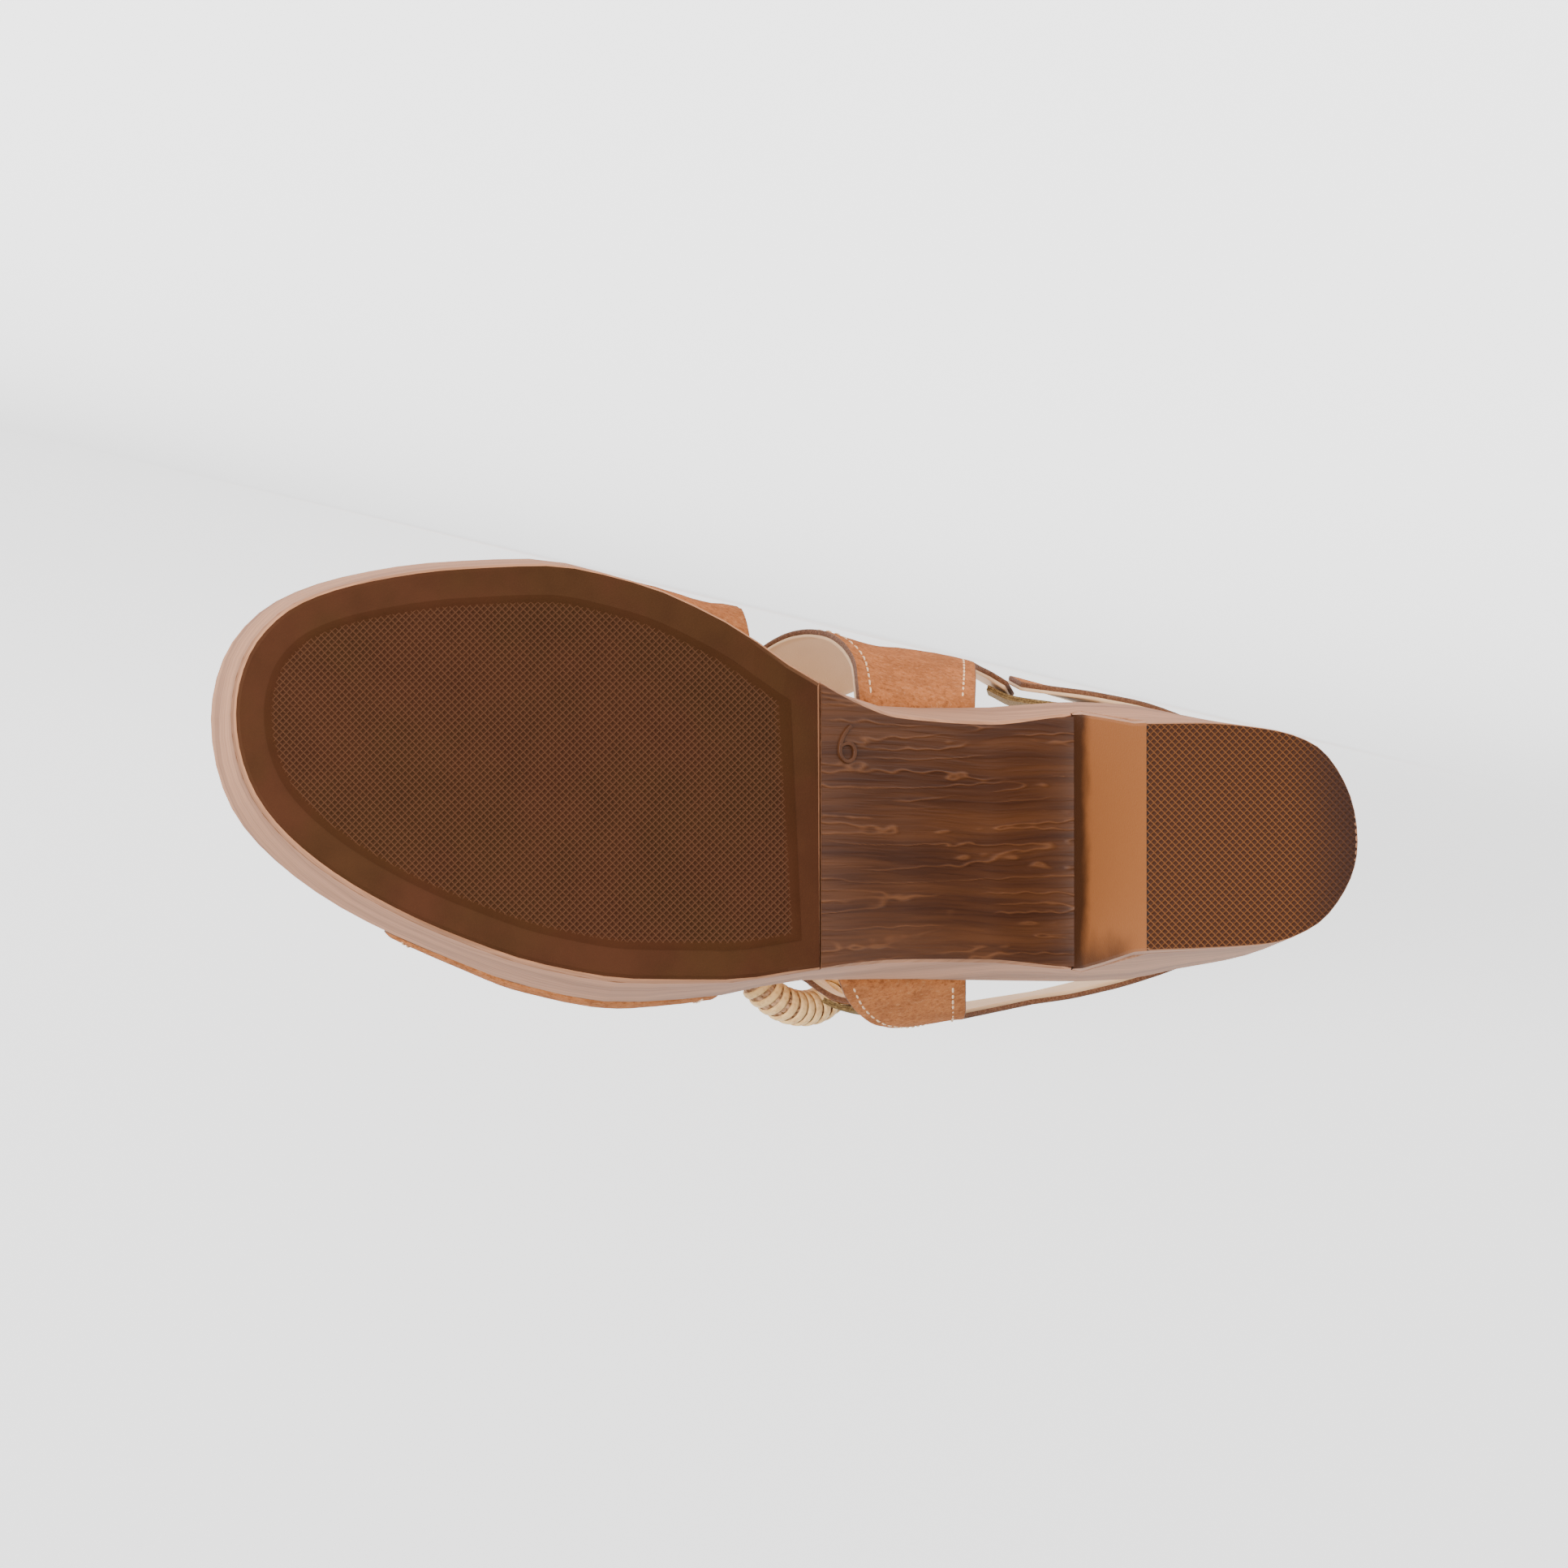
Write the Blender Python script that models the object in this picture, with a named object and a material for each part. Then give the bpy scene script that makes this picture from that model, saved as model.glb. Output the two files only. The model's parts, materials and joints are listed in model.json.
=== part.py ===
"""Right suede sandal: ring-strap upper with a heel sling, on a wood-look platform with a block heel.

The shoe is worked out upright: x runs from the back of the heel tread to the toe, y is positive towards
the inner (medial) side of the foot and z is up from the ground. It is then laid on its inner side.
Sizes are in metres. Tables hold shares of the named sizes, a row for each station along the shoe.
"""

import math

import bmesh
import bpy
import numpy as np
from mathutils import Matrix, Vector

# Sole
SOLE_LENGTH = 0.245
TREAD_LENGTH = 0.2316
BALL_WIDTH = 0.096
PLATFORM_HEIGHT = 0.0285
HEEL_HEIGHT = 0.0715
TOE_SPRING = 0.008
HEEL_BACK_FLARE = 0.004
TOP_EDGE_RADIUS = 0.002
SHANK_EDGE_RADIUS = 0.0018
SEAM_CHAMFER = 0.0003

# Heel
HEEL_TREAD_LENGTH = 0.0434
BREAST_RAKE = 0.0122
BREAST_HEIGHT = 0.038
LIFT_THICKNESS = 0.006
BREAST_SKIN = 0.0025

# Forefoot outsole
OUTSOLE_THICKNESS = 0.004
OUTSOLE_EDGE_RADIUS = 0.001
FOREFOOT_START = 0.1104
BORDER_WIDTH = 0.007
REAR_BORDER = 0.0037
FIELD_DEPTH = 0.0007

# Upper
LEATHER = 0.002
INSTEP_HEIGHT = 0.072
FEATHER_INSET = 0.0024
INSOLE_THICKNESS = 0.0028
SLING_WIDTH = 0.0125
SLING_BACK_HEIGHT = 0.044
ELASTIC_WIDTH = 0.010
ELASTIC_THICKNESS = 0.0012
PAD_THICKNESS = 0.0012

# Ring
RING_RADIUS = 0.0141
RING_TUBE = 0.0041
RING_TILT = math.radians(43)
RING_SINK = 0.001
TAIL_CLEARANCE = 0.0008

# Small gap that keeps neighbouring solids apart
GAP = 0.0003

SUEDE = (0.50, 0.24, 0.11, 1)
LINING = (0.72, 0.52, 0.34, 1)
WOOD = (0.32, 0.19, 0.13, 1)
TREAD = (0.11, 0.055, 0.028, 1)
RAFFIA = (0.76, 0.52, 0.26, 1)
OLIVE = (0.30, 0.23, 0.12, 1)

for leftover in list(bpy.data.objects):
    bpy.data.objects.remove(leftover, do_unlink=True)


class Table:
    """Rows of named columns, read smoothly between the rows by their first column."""

    def __init__(self, columns, rows, round_ends=False):
        self.columns = columns.split()
        self.rows = np.array(rows, dtype=float)
        self.round_ends = round_ends
        self.places = self.spread(self.rows[:, 0])

    def spread(self, place):
        """Place counted as an angle where the ends are round, so that an outline closes in a curve."""
        if self.round_ends:
            return np.arccos(np.clip(1 - 2 * np.asarray(place), -1, 1))
        return np.asarray(place, dtype=float)

    def at(self, column, place):
        """Monotone cubic through one column, with no overshoot between rows."""
        values = self.rows[:, self.columns.index(column)]
        steps = np.diff(self.places)
        slopes = np.diff(values) / steps
        tangents = np.concatenate(([slopes[0]], np.zeros(len(slopes) - 1), [slopes[-1]]))
        for row in range(1, len(slopes)):
            before, after = slopes[row - 1], slopes[row]
            if before * after > 0:
                near = 2 * steps[row] + steps[row - 1]
                far = steps[row] + 2 * steps[row - 1]
                tangents[row] = (near + far) / (near / before + far / after)
        where = float(np.clip(self.spread(place), self.places[0], self.places[-1]))
        row = int(np.clip(np.searchsorted(self.places, where) - 1, 0, len(steps) - 1))
        share = (where - self.places[row]) / steps[row]
        start = values[row] * (1 + 2 * share) * (1 - share) ** 2
        start += tangents[row] * steps[row] * share * (1 - share) ** 2
        end = values[row + 1] * share ** 2 * (3 - 2 * share)
        end += tangents[row + 1] * steps[row] * share ** 2 * (share - 1)
        return float(start + end)


# Outlines of the footbed edge and of the tread edge, as shares of the ball width
OUTLINE = Table(
    "station top_medial top_lateral tread_medial tread_lateral",
    [
        (0.00, -0.013, -0.013, -0.015, -0.015),
        (0.01, 0.105, -0.130, 0.105, -0.112),
        (0.04, 0.212, -0.234, 0.196, -0.197),
        (0.08, 0.256, -0.276, 0.227, -0.233),
        (0.14, 0.290, -0.305, 0.240, -0.243),
        (0.19, 0.312, -0.329, 0.239, -0.248),
        (0.24, 0.316, -0.333, 0.273, -0.295),
        (0.32, 0.301, -0.330, 0.252, -0.277),
        (0.40, 0.296, -0.324, 0.260, -0.274),
        (0.48, 0.360, -0.323, 0.333, -0.288),
        (0.56, 0.476, -0.358, 0.457, -0.312),
        (0.64, 0.575, -0.371, 0.541, -0.310),
        (0.72, 0.616, -0.335, 0.578, -0.280),
        (0.80, 0.608, -0.260, 0.570, -0.216),
        (0.88, 0.578, -0.165, 0.544, -0.125),
        (0.94, 0.526, -0.059, 0.500, -0.026),
        (0.98, 0.437, 0.057, 0.420, 0.083),
        (1.00, 0.262, 0.262, 0.262, 0.262),
    ],
    round_ends=True,
)

# Side view: rise of the footbed to the heel, lift of the toe, and hollow of the shank's underside
PROFILE = Table(
    "station heel_rise toe_lift arch",
    [
        (0.00, 1.000, 0.00, 1.00),
        (0.08, 0.975, 0.00, 1.00),
        (0.14, 0.940, 0.00, 1.00),
        (0.19, 0.890, 0.00, 1.00),
        (0.24, 0.825, 0.00, 1.00),
        (0.32, 0.670, 0.00, 0.82),
        (0.40, 0.480, 0.00, 0.50),
        (0.48, 0.290, 0.00, 0.14),
        (0.56, 0.135, 0.00, 0.015),
        (0.62, 0.055, 0.00, 0.00),
        (0.72, 0.000, 0.00, 0.00),
        (0.80, 0.000, 0.00, 0.00),
        (0.86, 0.000, 0.16, 0.00),
        (0.92, 0.000, 0.45, 0.00),
        (1.00, 0.000, 1.00, 0.00),
    ],
)

# The last above the footbed: crown height as a share of the instep height, the rest of the ball width
LAST = Table(
    "station crown_height crown_side medial_bulge lateral_bulge",
    [
        (0.30, 1.22, 0.00, 0.170, 0.100),
        (0.34, 1.17, 0.00, 0.205, 0.115),
        (0.40, 1.08, 0.00, 0.225, 0.140),
        (0.44, 1.03, 0.01, 0.225, 0.120),
        (0.48, 0.975, 0.03, 0.205, 0.050),
        (0.52, 0.905, 0.05, 0.160, 0.035),
        (0.56, 0.83, 0.075, 0.095, 0.045),
        (0.60, 0.76, 0.095, 0.055, 0.055),
        (0.64, 0.69, 0.11, 0.030, 0.060),
        (0.72, 0.575, 0.14, 0.015, 0.060),
        (0.80, 0.46, 0.17, 0.015, 0.050),
        (0.88, 0.36, 0.20, 0.015, 0.030),
    ],
)
LAST_FULLNESS = 0.8

# Edges of the vamp band by the angle round the last, 0 at the inner side and 180 at the outer side
VAMP = Table(
    "angle rear front",
    [
        (0, 0.530, 0.800),
        (25, 0.545, 0.805),
        (60, 0.600, 0.800),
        (90, 0.635, 0.790),
        (120, 0.620, 0.795),
        (155, 0.575, 0.825),
        (180, 0.555, 0.840),
    ],
)

# Inner quarter, instep strap and its tail under the outer quarter: stations and angles of both edges
INSTEP_STRAP = Table(
    "row rear_station rear_angle front_station front_angle",
    [
        (0, 0.327, 0, 0.433, 0),
        (1, 0.322, 13, 0.436, 12),
        (2, 0.320, 25, 0.452, 24),
        (3, 0.322, 37, 0.472, 33),
        (4, 0.362, 47, 0.497, 42),
        (5, 0.424, 57, 0.524, 52),
        (6, 0.474, 71, 0.551, 68),
        (7, 0.503, 92, 0.572, 91),
        (8, 0.500, 112, 0.554, 112),
        (9, 0.485, 130, 0.523, 131),
        (10, 0.461, 148, 0.490, 151),
        (11, 0.434, 155, 0.456, 161),
        (12, 0.398, 156, 0.421, 165),
        (13, 0.368, 154.5, 0.392, 165),
    ],
)
SLING_ROWS = (2, 3)
RING_ROW = 9.5

# Outer quarter over the strap's tail, from the sole up
OUTER_QUARTER = Table(
    "row rear_station rear_angle front_station front_angle offset",
    [
        (0, 0.335, 180, 0.451, 180, 0.0),
        (1, 0.334, 172, 0.436, 171, 0.6),
        (2, 0.333, 164, 0.412, 163, 1.0),
        (3, 0.331, 156, 0.385, 155, 1.0),
        (4, 0.328, 144, 0.352, 144, 1.0),
    ],
)

# Heel sling, inner face: station, side as a share of the ball width, height above the heel seat as a
# share of the sling's height at the back, and lean of the strap in degrees (top edge inwards)
REAR_SLING = Table(
    "row station side height lean",
    [
        (0, 0.262, -0.372, 0.74, 4),
        (1, 0.215, -0.350, 0.80, 8),
        (2, 0.140, -0.295, 0.88, 10),
        (3, 0.060, -0.195, 0.96, 6),
        (4, 0.006, 0.000, 1.00, 4),
        (5, 0.060, 0.185, 0.96, 8),
        (6, 0.130, 0.275, 0.88, 16),
        (7, 0.195, 0.325, 0.81, 8),
        (8, 0.277, 0.370, 0.76, -14),
    ],
)
FRONT_SLING = Table(
    "row station side height lean",
    [
        (0, 0.300, 0.378, 0.76, 10),
        (1, 0.284, 0.352, 0.76, 14),
    ],
)
ELASTIC = Table(
    "row station side height lean",
    [
        (0, 0.302, 0.356, 0.76, 8),
        (1, 0.277, 0.328, 0.76, 10),
        (2, 0.240, 0.318, 0.77, 2),
        (3, 0.195, 0.300, 0.80, 8),
    ],
)


def footbed(station):
    """Height of the sole's top face."""
    rise = PROFILE.at("heel_rise", station) * (HEEL_HEIGHT - PLATFORM_HEIGHT)
    return PLATFORM_HEIGHT + rise + PROFILE.at("toe_lift", station) * TOE_SPRING


def tread_station(distance):
    """Station of a distance from the back of the tread."""
    return distance / TREAD_LENGTH


def breast(distance, top):
    """Height of the raked heel breast at a distance from the back, between the ground and its top."""
    return min(max(BREAST_HEIGHT * (distance - HEEL_TREAD_LENGTH) / BREAST_RAKE, 0.0), top)


def underside(station):
    """Height of the lowest face of the whole shoe."""
    distance = station * TREAD_LENGTH
    if distance <= HEEL_TREAD_LENGTH + BREAST_RAKE:
        return breast(distance, BREAST_HEIGHT)
    return PROFILE.at("arch", station) * BREAST_HEIGHT + PROFILE.at("toe_lift", station) * TOE_SPRING


def lift_top(station, gap=0.0):
    """Upper face of the heel lift, or the heel's face a gap above it."""
    ceiling = BREAST_HEIGHT + BREAST_SKIN + gap
    return max(breast(station * TREAD_LENGTH + BREAST_SKIN + gap, ceiling), LIFT_THICKNESS + gap)


def breast_station(height, setback):
    """Station at which the raked breast, set back inside the heel, reaches a height."""
    return tread_station(HEEL_TREAD_LENGTH - setback + BREAST_RAKE * height / BREAST_HEIGHT)


HEEL_STEP = tread_station(HEEL_TREAD_LENGTH + BREAST_RAKE + GAP)
FOREFOOT_STEP = tread_station(FOREFOOT_START - GAP)
STEP_RUN = tread_station(0.00005)


def unit_bottom(station):
    """Lower face of the sole unit, stepped up where the heel lift and the outsole sit in it."""
    if station <= HEEL_STEP:
        return lift_top(station, GAP)
    if station <= FOREFOOT_STEP:
        return underside(station)
    return underside(station) + OUTSOLE_THICKNESS + GAP


def wall(side, station, height):
    """Point of the sole's side wall, which flares from the tread edge to the footbed edge."""
    low = underside(station)
    share = (height - low) / (footbed(station) - low)
    tread_y = OUTLINE.at("tread_" + side, station)
    top_y = OUTLINE.at("top_" + side, station)
    back = -HEEL_BACK_FLARE * share
    length = TREAD_LENGTH + (SOLE_LENGTH - TREAD_LENGTH) * share
    return Vector((back + station * length, (tread_y + (top_y - tread_y) * share) * BALL_WIDTH, height))


def stations_between(first, last, count, extra=()):
    """Stations close together at round ends, with the places of steps and kinks added."""
    low = math.acos(1 - 2 * first)
    high = math.acos(1 - 2 * last)
    turns = [low + (high - low) * step / (count - 1) for step in range(count)]
    places = [(1 - math.cos(turn)) / 2 for turn in turns]
    near = 0.25 * (last - first) / count
    kept = [place for place in places if all(abs(place - kink) > near for kink in extra)]
    return sorted(kept + list(extra))


def ring_of_points(stations, height, inset, follow=underside):
    """Medial and lateral points round the sole; height and inset are functions of the station.

    A point that its inset moves along the shoe goes up or down with the face that it follows."""
    rows = {}
    for side in ("medial", "lateral"):
        rows[side] = [wall(side, station, height(station)) for station in stations]
    closed = rows["medial"] + rows["lateral"][::-1]
    moved = []
    for index, point in enumerate(closed):
        before = closed[index - 1]
        after = closed[(index + 1) % len(closed)]
        if (before - point).length < 1e-7:
            before = closed[index - 2]
        if (after - point).length < 1e-7:
            after = closed[(index + 2) % len(closed)]
        station = stations[index] if index < len(stations) else stations[2 * len(stations) - 1 - index]
        open_end = index in (0, len(closed) - 1) and stations[0] > 0
        if open_end:
            along = after - point if index == 0 else point - before
        else:
            along = after - before
        inward = Vector((along.y, -along.x, 0)).normalized()
        place = point + inward * inset(station)
        place.z += follow(station + (place.x - point.x) / SOLE_LENGTH) - follow(station)
        moved.append(place)
    return moved[:len(stations)], moved[len(stations):][::-1]


def stack(name, rings, paint):
    """Closed solid from rings of points, lowest first, each a medial and a lateral row."""
    mesh = bmesh.new()
    layers = []
    for medial, lateral in rings:
        medial_verts = [mesh.verts.new(point) for point in medial]
        lateral_verts = []
        for index, point in enumerate(lateral):
            shared = (point - medial[index]).length < 1e-6
            lateral_verts.append(medial_verts[index] if shared else mesh.verts.new(point))
        layers.append((medial_verts, lateral_verts))
    for lower, upper in zip(layers, layers[1:]):
        low = lower[0] + lower[1][::-1]
        high = upper[0] + upper[1][::-1]
        for index in range(len(low)):
            following = (index + 1) % len(low)
            add_face(mesh, (low[index], high[index], high[following], low[following]))
    for medial, lateral in (layers[0], layers[-1]):
        for index in range(len(medial) - 1):
            add_face(mesh, (medial[index], medial[index + 1], lateral[index + 1], lateral[index]))
    return finish(name, mesh, paint)


def add_face(mesh, verts):
    """Face from the different vertices among those given."""
    different = list(dict.fromkeys(verts))
    if len(different) > 2:
        mesh.faces.new(different)


def finish(name, mesh, paint):
    """Object from a bmesh, with its faces pointing out and its own material."""
    bmesh.ops.recalc_face_normals(mesh, faces=mesh.faces)
    data = bpy.data.meshes.new(name)
    mesh.to_mesh(data)
    mesh.free()
    data.shade_smooth()
    data.set_sharp_from_angle(angle=math.radians(35))
    item = bpy.data.objects.new(name, data)
    bpy.context.collection.objects.link(item)
    colour, roughness = paint
    material = bpy.data.materials.new(name)
    material.use_nodes = True
    shader = material.node_tree.nodes["Principled BSDF"]
    shader.inputs["Base Color"].default_value = colour
    shader.inputs["Roughness"].default_value = roughness
    data.materials.append(material)
    return item


def last_point(station, angle):
    """Point of the last at a station and an angle round it, 0 at the inner and 180 at the outer side."""
    side = "medial" if angle <= 90 else "lateral"
    turn = math.radians(angle if angle <= 90 else 180 - angle)
    outwards = 1 if side == "medial" else -1
    edge = wall(side, station, footbed(station))
    foot_y = edge.y - outwards * FEATHER_INSET
    crown_y = LAST.at("crown_side", station) * BALL_WIDTH
    bulge = LAST.at(side + "_bulge", station) * BALL_WIDTH * math.sin(2 * turn) ** LAST_FULLNESS
    y = crown_y + (foot_y - crown_y) * math.cos(turn) + outwards * bulge
    z = edge.z + GAP + LAST.at("crown_height", station) * INSTEP_HEIGHT * math.sin(turn)
    return Vector((edge.x, y, z))


def last_normal(station, angle):
    """Outward direction of the last."""
    step = 0.5
    reach = 0.004
    low = max(angle - step, 0)
    high = min(angle + step, 180)
    around = last_point(station, high) - last_point(station, low)
    along = last_point(station + reach, angle) - last_point(station - reach, angle)
    return around.cross(along).normalized()


class Sheet:
    """Grid of leather built from rows of points, later given its thickness outwards."""

    def __init__(self):
        self.mesh = bmesh.new()
        self.feet = []

    def row(self, points):
        return [self.mesh.verts.new(point) for point in points]

    def join(self, rows):
        for low, high in zip(rows, rows[1:]):
            for index in range(len(low) - 1):
                self.mesh.faces.new((low[index], low[index + 1], high[index + 1], high[index]))

    def solid(self, name, thickness, paint, outward):
        """Closed wall: the sheet is its inner face. outward tells a point on the wearer's side."""
        mesh = self.mesh
        bmesh.ops.recalc_face_normals(mesh, faces=mesh.faces)
        mesh.normal_update()
        total = sum(face.normal.dot(face.calc_center_median() - outward) for face in mesh.faces)
        if total < 0:
            bmesh.ops.reverse_faces(mesh, faces=mesh.faces)
            mesh.normal_update()
        rims = [edge for edge in mesh.edges if len(edge.link_faces) == 1]
        outer = {}
        for vert in list(mesh.verts):
            place = vert.co + vert.normal * thickness
            if vert in self.feet:
                level = Vector((vert.normal.x, vert.normal.y, 0)).normalized()
                place = vert.co + level * thickness
                place.z = footbed((place.x + HEEL_BACK_FLARE) / SOLE_LENGTH) + GAP
            outer[vert] = mesh.verts.new(place)
        for face in list(mesh.faces):
            mesh.faces.new([outer[vert] for vert in face.verts])
            face.normal_flip()
        for edge in rims:
            first, second = edge.verts
            mesh.faces.new((first, second, outer[second], outer[first]))
        return finish(name, mesh, paint)


def blend(start, end, count):
    """Shares from start to end in equal steps."""
    return [start + (end - start) * step / count for step in range(count + 1)]


def make_sole_unit():
    """Moulded wood-look unit: platform, shank and heel block in one."""
    setback = BREAST_SKIN + GAP
    kinks = [
        breast_station(LIFT_THICKNESS + GAP, setback),
        breast_station(BREAST_HEIGHT + setback, setback),
        tread_station(HEEL_TREAD_LENGTH),
        HEEL_STEP,
        HEEL_STEP + STEP_RUN,
        FOREFOOT_STEP,
        FOREFOOT_STEP + STEP_RUN,
    ]
    stations = stations_between(0, 1, 46, kinks)

    def lower_radius(station):
        in_shank = HEEL_STEP + 2 * STEP_RUN < station < FOREFOOT_STEP - STEP_RUN
        return SHANK_EDGE_RADIUS if in_shank else SEAM_CHAMFER

    def lowered(share_up, share_in):
        return ring_of_points(
            stations,
            lambda station: unit_bottom(station) + lower_radius(station) * share_up,
            lambda station: lower_radius(station) * share_in,
        )

    def topped(share_down, share_in):
        return ring_of_points(
            stations,
            lambda station: footbed(station) - TOP_EDGE_RADIUS * share_down,
            lambda station: TOP_EDGE_RADIUS * share_in,
            footbed,
        )

    middle = ring_of_points(
        stations,
        lambda station: (unit_bottom(station) + footbed(station)) / 2,
        lambda station: 0.0,
    )
    bottom_edge = [lowered(0, 1), lowered(0.3, 0.3), lowered(1, 0)]
    top_edge = [topped(1, 0), topped(0.3, 0.3), topped(0, 1)]
    stack("sole_unit", bottom_edge + [middle] + top_edge, (WOOD, 0.55))


def make_heel_lift():
    """Rubber lift: the heel's tread, turned up over the raked breast."""
    kinks = [
        breast_station(LIFT_THICKNESS, BREAST_SKIN),
        breast_station(BREAST_HEIGHT + BREAST_SKIN, BREAST_SKIN),
        tread_station(HEEL_TREAD_LENGTH),
    ]
    stations = stations_between(0, tread_station(HEEL_TREAD_LENGTH + BREAST_RAKE), 20, kinks)
    chamfer = 0.0005
    rings = [
        ring_of_points(stations, underside, lambda station: chamfer),
        ring_of_points(stations, lambda station: underside(station) + chamfer, lambda station: 0.0),
        ring_of_points(stations, lambda station: lift_top(station) - SEAM_CHAMFER, lambda station: 0.0),
        ring_of_points(stations, lift_top, lambda station: SEAM_CHAMFER),
    ]
    stack("heel_lift", rings, (TREAD, 0.6))


def make_outsole():
    """Rubber forefoot outsole: a smooth border round a sunk field that carries the fine tread."""
    start = tread_station(FOREFOOT_START)
    field_start = tread_station(FOREFOOT_START + REAR_BORDER)
    stations = stations_between(start, 1, 30)
    field_stations = stations_between(field_start, 1, 30)
    field_slope = 0.0005

    def level(places, rise, inset):
        return ring_of_points(places, lambda station: underside(station) + rise, lambda station: inset)

    rings = [
        level(field_stations, FIELD_DEPTH, BORDER_WIDTH + field_slope),
        level(field_stations, 0.0, BORDER_WIDTH),
        level(stations, 0.0, OUTSOLE_EDGE_RADIUS),
        level(stations, 0.3 * OUTSOLE_EDGE_RADIUS, 0.3 * OUTSOLE_EDGE_RADIUS),
        level(stations, OUTSOLE_EDGE_RADIUS, 0.0),
        level(stations, OUTSOLE_THICKNESS - SEAM_CHAMFER, 0.0),
        level(stations, OUTSOLE_THICKNESS, SEAM_CHAMFER),
    ]
    stack("outsole_forefoot", rings, (TREAD, 0.6))


def make_insole():
    """Leather-covered insole inside the feet of the straps."""
    stations = stations_between(0, 1, 40)
    inset = FEATHER_INSET + 2 * GAP
    edge = 0.001

    def level(rise, further_in):
        return ring_of_points(
            stations,
            lambda station: footbed(station) + GAP + rise,
            lambda station: inset + further_in,
            footbed,
        )

    rings = [level(0.0, 0.0), level(INSOLE_THICKNESS - edge, 0.0), level(INSOLE_THICKNESS, edge)]
    stack("insole", rings, (LINING, 0.7))


def wearer(station):
    """Point in the middle of the foot, from which leather faces outwards."""
    crown = last_point(station, 90)
    inner = wall("medial", station, footbed(station))
    outer = wall("lateral", station, footbed(station))
    return crown * 0.4 + (inner + outer) * 0.3


def make_vamp():
    """Wide band over the forefoot, open at the toe."""
    sheet = Sheet()
    rows = []
    for angle in blend(0, 180, 36):
        rear = VAMP.at("rear", angle)
        front = VAMP.at("front", angle)
        rows.append(sheet.row(last_point(station, angle) for station in blend(rear, front, 10)))
    sheet.join(rows)
    sheet.feet = rows[0] + rows[-1]
    sheet.solid("vamp_band", LEATHER, (SUEDE, 0.85), wearer(0.68))


def strap_row(table, row, count, offset=0.0):
    """Points across a strap that lies on the last, from its rear edge to its front edge."""
    points = []
    for share in blend(0, 1, count):
        station = table.at("rear_station", row) * (1 - share) + table.at("front_station", row) * share
        angle = table.at("rear_angle", row) * (1 - share) + table.at("front_angle", row) * share
        points.append(last_point(station, angle) + last_normal(station, angle) * offset)
    return points


def sling_row(table, row, width, count):
    """Points across a heel strap, from its lower edge to its upper edge."""
    lean = math.radians(table.at("lean", row))
    station = table.at("station", row)
    side = table.at("side", row) * BALL_WIDTH
    centre = Vector((station * SOLE_LENGTH - HEEL_BACK_FLARE, side,
                     HEEL_HEIGHT + table.at("height", row) * SLING_BACK_HEIGHT))
    heel_centre = Vector((0.12 * SOLE_LENGTH, 0, centre.z))
    inwards = (heel_centre - centre).normalized()
    upwards = Vector((0, 0, math.cos(lean))) + inwards * math.sin(lean)
    return [centre + upwards * width * (share - 0.5) for share in blend(0, 1, count)]


def make_instep_strap():
    """Inner quarter that runs on as the instep strap, through the ring and under the outer quarter."""
    sheet = Sheet()
    across = 7
    per_row = 4
    last_row = len(INSTEP_STRAP.rows) - 1
    steps = blend(0, last_row, last_row * per_row)
    rows = [sheet.row(strap_row(INSTEP_STRAP, row, across)) for row in steps]
    sheet.join(rows)
    sheet.feet = rows[0]
    first, last = (row * per_row for row in SLING_ROWS)
    columns = [[row[0] for row in rows[first:last + 1]]]
    for place in blend(0, 1, 3):
        columns.append(sheet.row(sling_row(FRONT_SLING, place, SLING_WIDTH, last - first)))
    sheet.join(columns)
    sheet.solid("quarter_and_instep_strap", LEATHER, (SUEDE, 0.85), wearer(0.42))


def make_outer_quarter():
    """Outer quarter over the strap's tail, running on as the sling behind the heel."""
    sheet = Sheet()
    across = 6
    per_row = 4
    over_strap = LEATHER + PAD_THICKNESS + TAIL_CLEARANCE
    last_row = len(OUTER_QUARTER.rows) - 1
    rows = []
    for row in blend(0, last_row, last_row * per_row):
        offset = OUTER_QUARTER.at("offset", row) * over_strap
        rows.append(sheet.row(strap_row(OUTER_QUARTER, row, across, offset)))
    sheet.join(rows)
    sheet.feet = rows[0]
    first = (last_row - 1) * per_row
    columns = [[row[0] for row in rows[first:]]]
    end = len(REAR_SLING.rows) - 1
    for place in blend(0, end, end * 4):
        columns.append(sheet.row(sling_row(REAR_SLING, place, SLING_WIDTH, per_row)))
    sheet.join(columns)
    sheet.solid("quarter_and_heel_sling", LEATHER, (SUEDE, 0.85), wearer(0.30))


def make_elastic():
    """Elastic piece inside the two ends of the sling."""
    sheet = Sheet()
    end = len(ELASTIC.rows) - 1
    sheet.join([sheet.row(sling_row(ELASTIC, place, ELASTIC_WIDTH, 2)) for place in blend(0, end, end * 3)])
    sheet.solid("elastic_gore", ELASTIC_THICKNESS, (OLIVE, 0.8), wearer(0.30))


def row_beyond(row, distance):
    """Row of the instep strap whose middle is at a distance past another row's middle."""
    start = strap_row(INSTEP_STRAP, row, 2)[1]
    while (strap_row(INSTEP_STRAP, row, 2)[1] - start).length < distance:
        row += 0.02
    return row


def make_pad():
    """Hook-and-loop pad on the outside of the strap's tail, clear of the ring."""
    sheet = Sheet()
    rows = []
    first = row_beyond(RING_ROW, RING_RADIUS + RING_TUBE)
    tail_end = len(INSTEP_STRAP.rows) - 1
    for row in blend(first, tail_end - 0.1, 6):
        points = strap_row(INSTEP_STRAP, row, 8, LEATHER + GAP)
        rows.append(sheet.row(points[1:-1]))
    sheet.join(rows)
    sheet.solid("hook_and_loop_pad", PAD_THICKNESS, (OLIVE, 0.95), wearer(0.42))


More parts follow.
